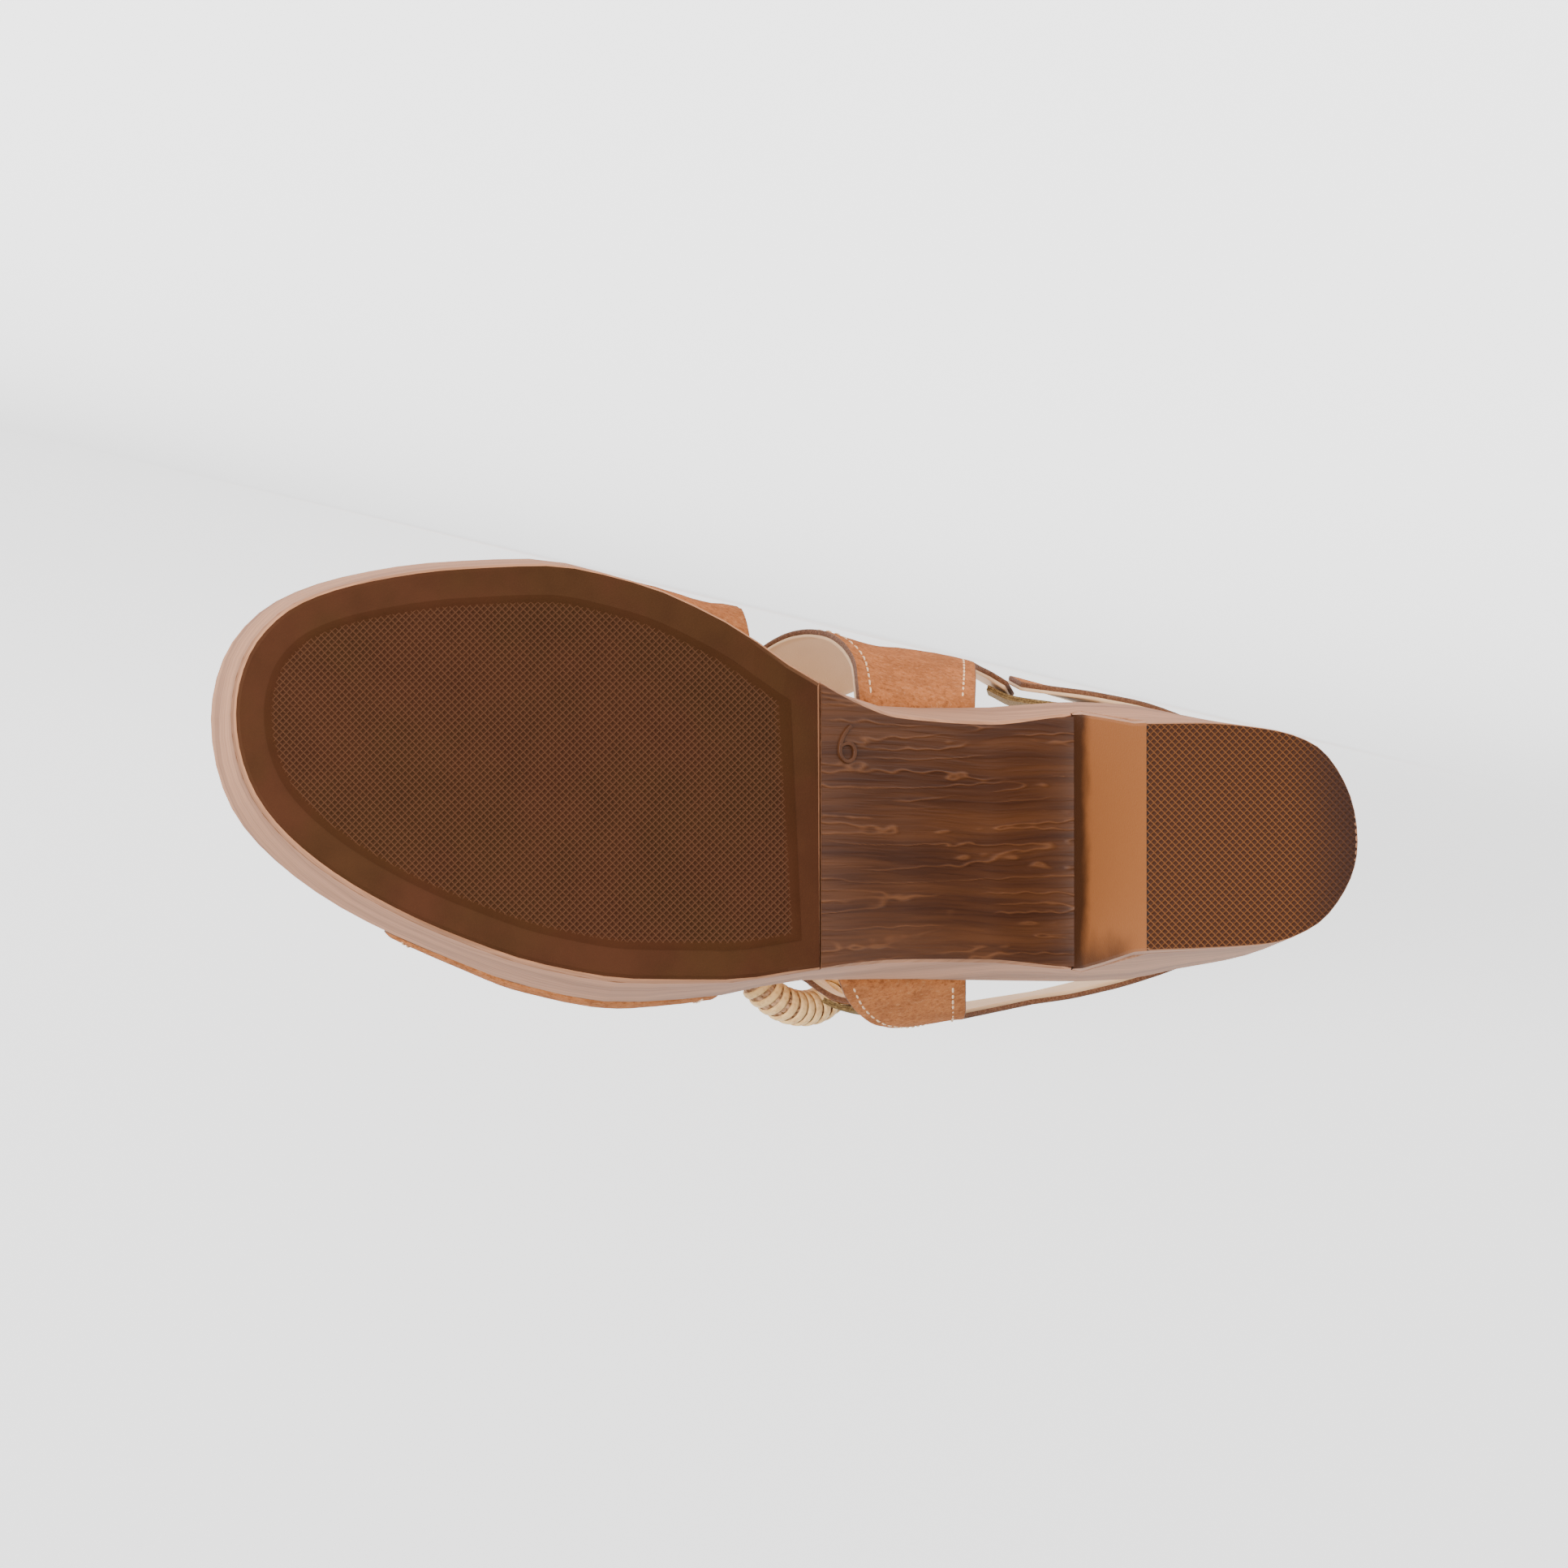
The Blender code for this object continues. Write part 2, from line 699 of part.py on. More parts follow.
def make_ring():
    """Raffia-wrapped ring threaded on the instep strap: under the strap above, over it below."""
    half = 0.5
    above = strap_row(INSTEP_STRAP, RING_ROW - half, 2, -RING_SINK)
    below = strap_row(INSTEP_STRAP, RING_ROW + half, 2, -RING_SINK)
    here = strap_row(INSTEP_STRAP, RING_ROW, 2, -RING_SINK)
    along = (below[1] - above[1]).normalized()
    across = (here[2] - here[0]).normalized()
    outwards = along.cross(across).normalized()
    if outwards.y > 0:
        outwards = -outwards
    across = outwards.cross(along).normalized()
    tilted = along * math.cos(RING_TILT) + outwards * math.sin(RING_TILT)
    axis = across.cross(tilted)
    mesh = bmesh.new()
    around = 40
    tube = 12
    loops = []
    for step in range(around):
        turn = 2 * math.pi * step / around
        radial = across * math.cos(turn) + tilted * math.sin(turn)
        loop = []
        for place in range(tube):
            spin = 2 * math.pi * place / tube
            reach = RING_RADIUS + RING_TUBE * math.cos(spin)
            loop.append(mesh.verts.new(here[1] + radial * reach + axis * RING_TUBE * math.sin(spin)))
        loops.append(loop)
    for loop, following in zip(loops, loops[1:] + loops[:1]):
        for place in range(tube):
            beside = (place + 1) % tube
            mesh.faces.new((loop[place], following[place], following[beside], loop[beside]))
    finish("raffia_ring", mesh, (RAFFIA, 0.7))


def lay_on_inner_side():
    """Lay the shoe down: on the face of its convex hull, on the inner side, that is under its weight."""
    shoe = bpy.data.objects.new("shoe", None)
    bpy.context.collection.objects.link(shoe)
    hull = bmesh.new()
    weight = Vector((0, 0, 0))
    total = 0.0
    for item in [item for item in bpy.data.objects if item.type == "MESH"]:
        item.parent = shoe
        solid = bmesh.new()
        solid.from_mesh(item.data)
        bmesh.ops.triangulate(solid, faces=solid.faces)
        for face in solid.faces:
            corners = [vert.co for vert in face.verts]
            volume = corners[0].dot(corners[1].cross(corners[2])) / 6
            weight += (corners[0] + corners[1] + corners[2]) * volume / 4
            total += volume
        solid.free()
        hull.from_mesh(item.data)
    centre = weight / total
    bmesh.ops.convex_hull(hull, input=hull.verts)
    side_face = 0.8
    best = None
    for face in hull.faces:
        if face.normal.y < side_face:
            continue
        corners = [loop.vert.co for loop in face.loops]
        foot = centre + face.normal * (corners[0] - centre).dot(face.normal)
        turns = [(after - before).cross(foot - before).dot(face.normal)
                 for before, after in zip(corners, corners[1:] + corners[:1])]
        if best is None or min(turns) > best[0]:
            best = (min(turns), face.normal.copy())
    down = best[1]
    hull.free()
    up = -down
    sole_to_front = (Vector((0, 0, 1)) - down * down.z).normalized()
    toe_to_right = sole_to_front.cross(up).normalized()
    turn = Matrix((toe_to_right, sole_to_front, up))
    placed = [turn @ vert.co for item in shoe.children for vert in item.data.vertices]
    low = [min(point[axis] for point in placed) for axis in range(3)]
    high = [max(point[axis] for point in placed) for axis in range(3)]
    shift = Vector((-(low[0] + high[0]) / 2, -(low[1] + high[1]) / 2, -low[2]))
    shoe.matrix_world = Matrix.Translation(shift) @ turn.to_4x4()
    bpy.context.view_layer.update()


make_sole_unit()
make_heel_lift()
make_outsole()
make_insole()
make_vamp()
make_instep_strap()
make_outer_quarter()
make_elastic()
make_pad()
make_ring()
lay_on_inner_side()
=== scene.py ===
"""Looks of the right suede sandal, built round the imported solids, with the camera, light and floor."""

import json
import math

import bmesh
import bpy
import numpy as np
from mathutils import Matrix, Vector, noise


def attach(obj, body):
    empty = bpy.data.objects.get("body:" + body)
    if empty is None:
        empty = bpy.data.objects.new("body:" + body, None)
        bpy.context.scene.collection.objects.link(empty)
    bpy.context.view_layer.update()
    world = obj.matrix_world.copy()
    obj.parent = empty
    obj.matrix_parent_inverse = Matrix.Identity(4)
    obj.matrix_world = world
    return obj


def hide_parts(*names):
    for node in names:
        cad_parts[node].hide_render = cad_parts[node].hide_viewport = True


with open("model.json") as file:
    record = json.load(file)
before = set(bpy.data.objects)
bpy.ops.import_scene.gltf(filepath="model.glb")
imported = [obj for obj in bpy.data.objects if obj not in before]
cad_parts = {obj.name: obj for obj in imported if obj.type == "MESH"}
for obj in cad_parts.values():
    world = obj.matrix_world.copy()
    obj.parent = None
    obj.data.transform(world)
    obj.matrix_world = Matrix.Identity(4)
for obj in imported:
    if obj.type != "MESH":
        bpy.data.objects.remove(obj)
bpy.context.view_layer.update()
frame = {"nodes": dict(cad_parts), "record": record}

# The shoe's own directions. It is a right shoe that lies on its inner side, so they are read from the two
# tread mounts of the record: along to the toe, inward to the inner side of the foot, and up from the tread.
HEEL_TREAD_AT = Vector((0.020, 0.0, 0.0))
FOREFOOT_TREAD_AT = Vector((0.165, 0.051, 0.0))

treads = {mount["name"]: mount for mount in frame["record"]["mounts"]}
heel_point = Vector(treads["heel_tread"]["pos_m"])
up = -Vector(treads["heel_tread"]["axis"]).normalized()
run = Vector(treads["forefoot_tread"]["pos_m"]) - heel_point
run = (run - up * run.dot(up)).normalized()
tread_run = FOREFOOT_TREAD_AT - HEEL_TREAD_AT
along = (run * tread_run.x - up.cross(run) * tread_run.y).normalized()
inward = up.cross(along)
directions = Matrix((along, inward, up)).transposed()
shoe = Matrix.Translation(heel_point - directions @ HEEL_TREAD_AT) @ directions.to_4x4()


# The camera, which looks squarely at the sole as the photo does. It rolls with the shoe and stops just
# above the floor.
CAMERA_DISTANCE = 0.8
CAMERA_OVER = (0.1178, 0.0107)
FOCAL_LENGTH = 89.4
LOWEST_CAMERA = 0.005

camera_at = shoe @ Vector((*CAMERA_OVER, -CAMERA_DISTANCE))
aim = shoe @ Vector((*CAMERA_OVER, 0.012))
camera_at.z = max(camera_at.z, LOWEST_CAMERA)
backwards = (camera_at - aim).normalized()
rightwards = inward.cross(backwards).normalized()
upwards = backwards.cross(rightwards)
lens = bpy.data.cameras.new("camera")
lens.lens = FOCAL_LENGTH
lens.clip_start = 0.001
camera = bpy.data.objects.new("camera", lens)
camera.matrix_world = Matrix.Translation(camera_at) @ Matrix((rightwards, upwards, backwards)).transposed().to_4x4()
bpy.context.collection.objects.link(camera)
bpy.context.scene.camera = camera


# The studio: a pale sweep that is floor and backdrop in one, soft light all round, and two broad lamps
# near the camera and overhead. The backdrop is clear from behind, where the floor goes on under it.
SWEEP_WIDTH = 5.0
SWEEP_FRONT = -3.0
SWEEP_BACK = 0.15
SWEEP_RADIUS = 0.075
SWEEP_HEIGHT = 3.0
PALE = (0.36, 0.36, 0.36, 1)
PAPER_GLOW = 1.75


def lamp(name, place, target, size, power):
    """Broad soft lamp that faces a target."""
    light = bpy.data.lights.new(name, "AREA")
    light.shape = "RECTANGLE"
    light.size, light.size_y = size
    light.energy = power
    item = bpy.data.objects.new(name, light)
    item.location = place
    item.rotation_euler = (Vector(place) - Vector(target)).to_track_quat("Z", "Y").to_euler()
    bpy.context.collection.objects.link(item)


sweep_line = [(SWEEP_FRONT, 0.0)]
for step in range(13):
    turn = math.pi / 2 * step / 12
    sweep_line.append((SWEEP_BACK - SWEEP_RADIUS + SWEEP_RADIUS * math.sin(turn),
                       SWEEP_RADIUS - SWEEP_RADIUS * math.cos(turn)))
sweep_line.append((SWEEP_BACK, SWEEP_HEIGHT))
sweep_mesh = bmesh.new()
edges_of_sweep = []
for side in (-SWEEP_WIDTH / 2, SWEEP_WIDTH / 2):
    edges_of_sweep.append([sweep_mesh.verts.new((side, y, z)) for y, z in sweep_line])
for index in range(len(sweep_line) - 1):
    left, right = edges_of_sweep
    sweep_mesh.faces.new((left[index], right[index], right[index + 1], left[index + 1]))
sweep_mesh.normal_update()
sweep_data = bpy.data.meshes.new("studio_sweep")
sweep_mesh.to_mesh(sweep_data)
sweep_mesh.free()
sweep_data.shade_smooth()
sweep = bpy.data.objects.new("studio_sweep", sweep_data)
bpy.context.collection.objects.link(sweep)
paper = bpy.data.materials.new("studio_paper")
paper.use_nodes = True
paper.node_tree.nodes["Principled BSDF"].inputs["Base Color"].default_value = PALE
paper.node_tree.nodes["Principled BSDF"].inputs["Roughness"].default_value = 0.9
paper.node_tree.nodes["Principled BSDF"].inputs["Specular IOR Level"].default_value = 0.0
paper.node_tree.nodes["Principled BSDF"].inputs["Emission Color"].default_value = (1, 1, 1, 1)
paper.node_tree.nodes["Principled BSDF"].inputs["Emission Strength"].default_value = PAPER_GLOW
sweep_data.materials.append(paper)

far_mesh = bmesh.new()
far_mesh.faces.new([far_mesh.verts.new((x, y, -0.0004)) for x, y in
                    ((-SWEEP_WIDTH / 2, 0.05), (SWEEP_WIDTH / 2, 0.05), (SWEEP_WIDTH / 2, 3.0), (-SWEEP_WIDTH / 2, 3.0))])
far_data = bpy.data.meshes.new("far_floor")
far_mesh.to_mesh(far_data)
far_mesh.free()
far_data.materials.append(paper)
far_floor = bpy.data.objects.new("far_floor", far_data)
bpy.context.collection.objects.link(far_floor)
nodes, links = paper.node_tree.nodes, paper.node_tree.links
seen_from_behind = nodes.new("ShaderNodeNewGeometry")
clear = nodes.new("ShaderNodeBsdfTransparent")
either = nodes.new("ShaderNodeMixShader")
links.new(seen_from_behind.outputs["Backfacing"], either.inputs["Fac"])
links.new(nodes["Principled BSDF"].outputs["BSDF"], either.inputs[1])
links.new(clear.outputs["BSDF"], either.inputs[2])
links.new(either.outputs["Shader"], nodes["Material Output"].inputs["Surface"])

room = bpy.data.worlds.new("room")
room.use_nodes = True
room.node_tree.nodes["Background"].inputs["Color"].default_value = (1.0, 1.0, 1.0, 1)
room.node_tree.nodes["Background"].inputs["Strength"].default_value = 0.18
bpy.context.scene.world = room
lamp("front_lamp", (0.34, -0.85, 0.10), (0.0, 0.0, 0.03), (0.6, 0.18), 13.0)
lamp("overhead_lamp", (-0.1, -0.1, 1.3), (0.0, 0.0, 0.0), (1.2, 1.0), 3.5)


# Sole unit: one moulding with the printed and embossed look of wood. Its walls are greige with a fine
# grain along the shoe, and the underside of the shank is dark brown with raised lengthwise ridges.
WALL_PALE = (0.45, 0.213, 0.112, 1)
WALL_DEEP = (0.20, 0.088, 0.044, 1)
SHANK_BROWN = (0.085, 0.028, 0.011, 1)
SHANK_DEEP = (0.034, 0.010, 0.0035, 1)


class Value:
    """A socket of a finish. Maths on it adds the Math nodes that work it out."""

    def __init__(self, finish, socket):
        self.finish = finish
        self.socket = socket

    def math(self, operation, *others):
        return self.finish.node("Math", {"operation": operation}, dict(enumerate((self, *others))))

    def __add__(self, other):
        return self.math("ADD", other)

    def __sub__(self, other):
        return self.math("SUBTRACT", other)

    def __rsub__(self, other):
        return self.finish.node("Math", {"operation": "SUBTRACT"}, {0: other, 1: self})

    def __mul__(self, other):
        return self.math("MULTIPLY", other)

    def __pow__(self, other):
        return self.math("POWER", other)

    def between(self, low, high):
        """0 below low, 1 above high and smooth between, or the other way round."""
        values = {"Value": self, "From Min": low, "From Max": high}
        return self.finish.node("MapRange", {"interpolation_type": "SMOOTHSTEP"}, values)

    __radd__ = __add__
    __rmul__ = __mul__


class Finish:
    """A material whose nodes are added one by one and then set on its shader."""

    def __init__(self, name, roughness, **constants):
        self.material = bpy.data.materials.new(name)
        self.material.use_nodes = True
        self.tree = self.material.node_tree
        self.shader = self.tree.nodes["Principled BSDF"]
        self.shader.inputs["Roughness"].default_value = roughness
        for socket, value in constants.items():
            self.shader.inputs[socket.replace("_", " ")].default_value = value

    def node(self, kind, settings, values, output=0):
        """Any node: its type, its settings and then the values or links of its sockets."""
        made = self.tree.nodes.new("ShaderNode" + kind)
        for setting, value in settings.items():
            setattr(made, setting, value)
        for socket, value in values.items():
            if isinstance(value, Value):
                self.tree.links.new(value.socket, made.inputs[socket])
            else:
                made.inputs[socket].default_value = value
        return Value(self, made.outputs[output])

    def mix(self, share, first, second):
        """Colour between two colours."""
        return self.node("Mix", {"data_type": "RGBA"}, {0: share, 6: first, 7: second}, 2)

    def place(self):
        return self.node("TexCoord", {}, {}, "Object")

    def shoe_place(self):
        """Distances along the shoe, inward and up from the back of its tread."""
        here = self.place()
        origin = shoe.translation
        return [self.node("VectorMath", {"operation": "DOT_PRODUCT"}, {0: here, 1: tuple(axis)}, "Value")
                - origin.dot(axis) for axis in (along, inward, up)]

    def facing(self, axis):
        """How far the surface faces one of the shoe's directions, from -1 to 1."""
        normal = self.node("NewGeometry", {}, {}, "Normal")
        return self.node("VectorMath", {"operation": "DOT_PRODUCT"}, {0: normal, 1: tuple(axis)}, "Value")

    def cloud(self, place, scale, detail=2.0, roughness=0.5):
        """Soft noise from 0 to 1."""
        values = {"Vector": place, "Scale": scale, "Detail": detail, "Roughness": roughness}
        return self.node("TexNoise", {}, values)

    def stretched(self, x, y, z):
        return self.node("CombineXYZ", {}, {0: x, 1: y, 2: z})

    def bump(self, height, depth, strength=1.0):
        """Relief of the surface, with its depth in metres."""
        return self.node("Bump", {}, {"Height": height, "Distance": depth, "Strength": strength})

    def link(self, **sockets):
        for socket, value in sockets.items():
            self.tree.links.new(value.socket, self.shader.inputs[socket.replace("_", " ")])

    def cover(self, node):
        """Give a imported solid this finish."""
        for slot in frame["nodes"][node].material_slots:
            slot.material = self.material


def wall_grain(finish, x, y, z):
    """Colour and relief of the printed wood grain on the sole's walls."""
    drift = finish.cloud(finish.stretched(x * 25, y * 25, z * 30), 1.0, 2.0) * 0.012
    z = z + drift
    broad = finish.cloud(finish.stretched(x * 9, y * 9, z * 150), 1.0, 3.0).between(0.35, 0.68)
    fine = finish.cloud(finish.stretched(x * 30, y * 30, z * 800), 1.0, 3.0).between(0.38, 0.66)
    pores = finish.cloud(finish.stretched(x * 90, y * 90, z * 1500), 1.0, 1.0).between(0.66, 0.74)
    colour = finish.mix(broad * 0.55 + fine * 0.3, WALL_PALE, WALL_DEEP)
    colour = finish.mix(pores * 0.5, colour, WALL_DEEP)
    return colour, 1 - (fine * 0.6 + pores * 0.4)


wood = Finish("wood_look_moulding", 0.62, Specular_IOR_Level=0.12)
x, y, z = wood.shoe_place()
wall_colour, wall_relief = wall_grain(wood, x, y, z)
under = wood.facing(-up).between(0.45, 0.85)
wood.link(
    Base_Color=wood.mix(under, wall_colour, SHANK_BROWN),
    Normal=wood.bump(wall_relief, 0.00012, 0.6),
)
wood.cover("sole_unit")


# Forefoot outsole: rubber with a smooth, finely matt border, and a sunk field of small diamonds.
# The field's grid is modelled cell by cell, as pits between raised crossing lines.
BALL_WIDTH = 0.096
SOLE_LENGTH = 0.245
TREAD_LENGTH = 0.2316
PLATFORM_HEIGHT = 0.0285
HEEL_HEIGHT = 0.0715
TOE_SPRING = 0.008
HEEL_BACK_FLARE = 0.004
BREAST_HEIGHT = 0.038
FOREFOOT_START = 0.1104
BORDER_WIDTH = 0.007
REAR_BORDER = 0.0037
GRID_PITCH = 0.00104
RIM_STEPS = ((-0.0008, -0.00001), (-0.0003, -0.00004), (0.0002, -0.00002), (0.0008, 0.00018), (0.0014, 0.00038),
             (0.0020, 0.00048))
TREAD_BROWN = (0.056, 0.0195, 0.0085, 1)
TREAD_DEEP = (0.019, 0.0060, 0.0026, 1)
TREAD_OLIVE = (0.047, 0.0205, 0.0070, 1)
TREAD_RIDGE_HIGHLIGHT = (0.112, 0.045, 0.020, 1)


class Table:
    """Rows of named columns, read smoothly between the rows by their first column."""

    def __init__(self, columns, rows, round_ends=False):
        self.columns = columns.split()
        self.rows = np.array(rows, dtype=float)
        self.round_ends = round_ends
        self.places = self.spread(self.rows[:, 0])

    def spread(self, place):
        """Place counted as an angle where the ends are round, so that an outline closes in a curve."""
        if self.round_ends:
            return np.arccos(np.clip(1 - 2 * np.asarray(place), -1, 1))
        return np.asarray(place, dtype=float)

    def at(self, column, place):
        """Monotone cubic through one column, with no overshoot between rows."""
        values = self.rows[:, self.columns.index(column)]
        steps = np.diff(self.places)
        slopes = np.diff(values) / steps
        tangents = np.concatenate(([slopes[0]], np.zeros(len(slopes) - 1), [slopes[-1]]))
        for row in range(1, len(slopes)):
            before, after = slopes[row - 1], slopes[row]
            if before * after > 0:
                near = 2 * steps[row] + steps[row - 1]
                far = steps[row] + 2 * steps[row - 1]
                tangents[row] = (near + far) / (near / before + far / after)
        where = float(np.clip(self.spread(place), self.places[0], self.places[-1]))
        row = int(np.clip(np.searchsorted(self.places, where) - 1, 0, len(steps) - 1))
        share = (where - self.places[row]) / steps[row]
        start = values[row] * (1 + 2 * share) * (1 - share) ** 2
        start += tangents[row] * steps[row] * share * (1 - share) ** 2
        end = values[row + 1] * share ** 2 * (3 - 2 * share)
        end += tangents[row + 1] * steps[row] * share ** 2 * (share - 1)
        return float(start + end)


OUTLINE = Table(
    "station top_medial top_lateral tread_medial tread_lateral",
    [
        (0.00, -0.013, -0.013, -0.015, -0.015),
        (0.01, 0.105, -0.130, 0.105, -0.112),
        (0.04, 0.212, -0.234, 0.196, -0.197),
        (0.08, 0.256, -0.276, 0.227, -0.233),
        (0.14, 0.290, -0.305, 0.240, -0.243),
        (0.19, 0.312, -0.329, 0.239, -0.248),
        (0.24, 0.316, -0.333, 0.273, -0.295),
        (0.32, 0.301, -0.330, 0.252, -0.277),
        (0.40, 0.296, -0.324, 0.260, -0.274),
        (0.48, 0.360, -0.323, 0.333, -0.288),
        (0.56, 0.476, -0.358, 0.457, -0.312),
        (0.64, 0.575, -0.371, 0.541, -0.310),
        (0.72, 0.616, -0.335, 0.578, -0.280),
        (0.80, 0.608, -0.260, 0.570, -0.216),
        (0.88, 0.578, -0.165, 0.544, -0.125),
        (0.94, 0.526, -0.059, 0.500, -0.026),
        (0.98, 0.437, 0.057, 0.420, 0.083),
        (1.00, 0.262, 0.262, 0.262, 0.262),
    ],
    round_ends=True,
)
PROFILE = Table(
    "station heel_rise toe_lift arch",
    [
        (0.00, 1.000, 0.00, 1.00),
        (0.08, 0.975, 0.00, 1.00),
        (0.14, 0.940, 0.00, 1.00),
        (0.19, 0.890, 0.00, 1.00),
        (0.24, 0.825, 0.00, 1.00),
        (0.32, 0.670, 0.00, 0.82),
        (0.40, 0.480, 0.00, 0.50),
        (0.48, 0.290, 0.00, 0.14),
        (0.56, 0.135, 0.00, 0.015),
        (0.62, 0.055, 0.00, 0.00),
        (0.72, 0.000, 0.00, 0.00),
        (0.80, 0.000, 0.00, 0.00),
        (0.86, 0.000, 0.16, 0.00),
        (0.92, 0.000, 0.45, 0.00),
        (1.00, 0.000, 1.00, 0.00),
    ],
)


def tread_level(station):
    """Height of the forefoot's border or the shank's underside."""
    return PROFILE.at("arch", station) * BREAST_HEIGHT + PROFILE.at("toe_lift", station) * TOE_SPRING


def tread_edge(first, last, inset, count=80):
    """Places along the tread, with its inner and outer edges there, moved in from the outline."""
    turns = np.linspace(math.acos(1 - 2 * first), math.acos(1 - 2 * last), count)
    stations = (1 - np.cos(turns)) / 2
    sides = []
    for side in ("tread_medial", "tread_lateral"):
        line = np.array([(station * TREAD_LENGTH, OUTLINE.at(side, station) * BALL_WIDTH) for station in stations])
        slope = np.gradient(line, axis=0)
        slope /= np.linalg.norm(slope, axis=1)[:, None]
        turn_in = np.stack([slope[:, 1], -slope[:, 0]], axis=1) * (1 if side == "tread_medial" else -1)
        sides.append(line + turn_in * inset)
    return sides


def diamond_grid(name, edges, pitch, front_line, rear_line, ridge_level, pit_level):
    """Sheet of square pits, set on edge to the shoe, inside two edge lines."""
    mesh = bmesh.new()
    upright = shoe.inverted()
    step = pitch / math.sqrt(2)
    inner, outer = edges
    columns = int(round((front_line - rear_line) / step))
    knots = {}

    def knot(column, row, level):
        if (column, row) not in knots:
            x = rear_line + column * step
            place = Vector((x, row * step, level(x / TREAD_LENGTH)))
            knots[column, row] = mesh.verts.new(shoe @ place)
        return knots[column, row]

    reach = int(BALL_WIDTH / step)
    for column in range(1, columns):
        x = rear_line + column * step
        high = np.interp(x, inner[:, 0], inner[:, 1]) if x <= inner[:, 0].max() else -1
        low = np.interp(x, outer[:, 0], outer[:, 1]) if x <= outer[:, 0].max() else 1
        for row in range(-reach, reach):
            if (column + row) % 2 == 0 or not low - step < row * step < high + step:
                continue
            middle = knot(column, row, pit_level)
            corners = [knot(column + 1, row, ridge_level), knot(column, row + 1, ridge_level),
                       knot(column - 1, row, ridge_level), knot(column, row - 1, ridge_level)]
            for index in range(4):
                mesh.faces.new((middle, corners[(index + 1) % 4], corners[index]))
    for line, keep in ((inner, 1), (outer, -1)):
        for index in range(0, len(line) - 1, 2):
            first, last = (Vector((*line[place], 0)) for place in (index, min(index + 2, len(line) - 1)))
            side = Vector((-(last - first).y, (last - first).x, 0)).normalized() * keep
            if side.length < 0.5:
                continue
            near = [face for face in mesh.faces
                    if first.x - 0.002 < (upright @ face.calc_center_median()).x < last.x + 0.002
                    and abs(((upright @ face.calc_center_median()) - first).dot(side)) < 0.004]
            parts = set(near)
            for face in near:
                parts.update(face.edges)
                parts.update(face.verts)
            bmesh.ops.bisect_plane(mesh, geom=list(parts), dist=1e-7, plane_co=shoe @ first,
                                   plane_no=shoe.to_3x3() @ side)
    outside = []
    for face in mesh.faces:
        here = upright @ face.calc_center_median()
        high = np.interp(here.x, inner[:, 0], inner[:, 1], left=-9, right=-9)
        low = np.interp(here.x, outer[:, 0], outer[:, 1], left=9, right=9)
        if not low < here.y < high:
            outside.append(face)
    bmesh.ops.delete(mesh, geom=outside, context="FACES")
    data = bpy.data.meshes.new(name)
    mesh.to_mesh(data)
    mesh.free()
    item = bpy.data.objects.new(name, data)
    bpy.context.collection.objects.link(item)
    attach(item, "root")
    return item


def tread_colours(finish, x, y):
    """Brown of the rubber, mottled with olive."""
    place = finish.place()
    mottle = finish.cloud(place, 42.0, 3.0, 0.6).between(0.38, 0.66)
    warm = finish.cloud(place, 120.0, 2.0).between(0.3, 0.8)
    colour = finish.mix(mottle * 0.7, TREAD_BROWN, TREAD_OLIVE)
    return finish.mix(warm * 0.25, colour, TREAD_DEEP)


rubber = Finish("matt_rubber", 0.75, Specular_IOR_Level=0.04)
x, y, z = rubber.shoe_place()
wall_colour, wall_relief = wall_grain(rubber, x, y, z)
rubber_colour = rubber.mix(0.10, tread_colours(rubber, x, y), TREAD_DEEP)
speck = rubber.cloud(rubber.place(), 2600.0, 2.0)
under = rubber.facing(-up).between(0.55, 0.9)
rubber.link(
    Base_Color=rubber.mix(under, wall_colour, rubber_colour),
    Normal=rubber.bump(under * speck + (1 - under) * wall_relief * 0.5, 0.00012, 0.7),
)
rubber.cover("outsole_forefoot")

grid = Finish("diamond_tread", 0.65, Specular_IOR_Level=0.08)
x, y, z = grid.shoe_place()
lines = None
for crossing in (x + y, x - y):
    wave = (crossing * (1 / (GRID_PITCH * math.sqrt(2)))).math("PINGPONG", 0.5)
    lines = wave if lines is None else lines.math("MINIMUM", wave)
# Painted highlight: the raised crossing lines of the diamonds are coloured lighter than the pits between them.
ridge = lines.between(0.16, 0.02)
grid.link(
    Base_Color=grid.mix(ridge * 0.55, grid.mix(0.35, tread_colours(grid, x, y), TREAD_DEEP), TREAD_RIDGE_HIGHLIGHT),
    Normal=grid.bump(grid.cloud(grid.place(), 3000.0, 2.0), 0.00006, 0.6),
)
step = GRID_PITCH * math.sqrt(2)
field_rear = step * math.ceil((FOREFOOT_START + REAR_BORDER) / step)
field = diamond_grid(
    "forefoot_diamonds",
    tread_edge(FOREFOOT_START / TREAD_LENGTH, 1.0, BORDER_WIDTH + 0.0004),
    GRID_PITCH,
    TREAD_LENGTH - BORDER_WIDTH,
    field_rear,
    lambda station: tread_level(station) + 0.00012,
    lambda station: tread_level(station) + 0.00052,
)
field.data.materials.append(grid.material)

rim_loops = []
for further, rise in RIM_STEPS:
    rear = FOREFOOT_START + REAR_BORDER + further
    inner, outer = tread_edge(rear / TREAD_LENGTH, 1.0, BORDER_WIDTH + further)
    loop = [(x, y) for x, y in inner if x > rear] + [(x, y) for x, y in outer[::-1] if x > rear]
    lengths = np.cumsum([0.0] + [math.dist(a, b) for a, b in zip(loop, loop[1:] + loop[:1])])
    closed = np.array(loop + loop[:1])
    walk = np.linspace(0, lengths[-1], 361)[:-1]
    rim_loops.append([(np.interp(place, lengths, closed[:, 0]), np.interp(place, lengths, closed[:, 1]), rise)
                      for place in walk])
rim_mesh = bmesh.new()
rim_verts = [[rim_mesh.verts.new(shoe @ Vector((x, y, tread_level(x / TREAD_LENGTH) + rise)))
              for x, y, rise in loop] for loop in rim_loops]
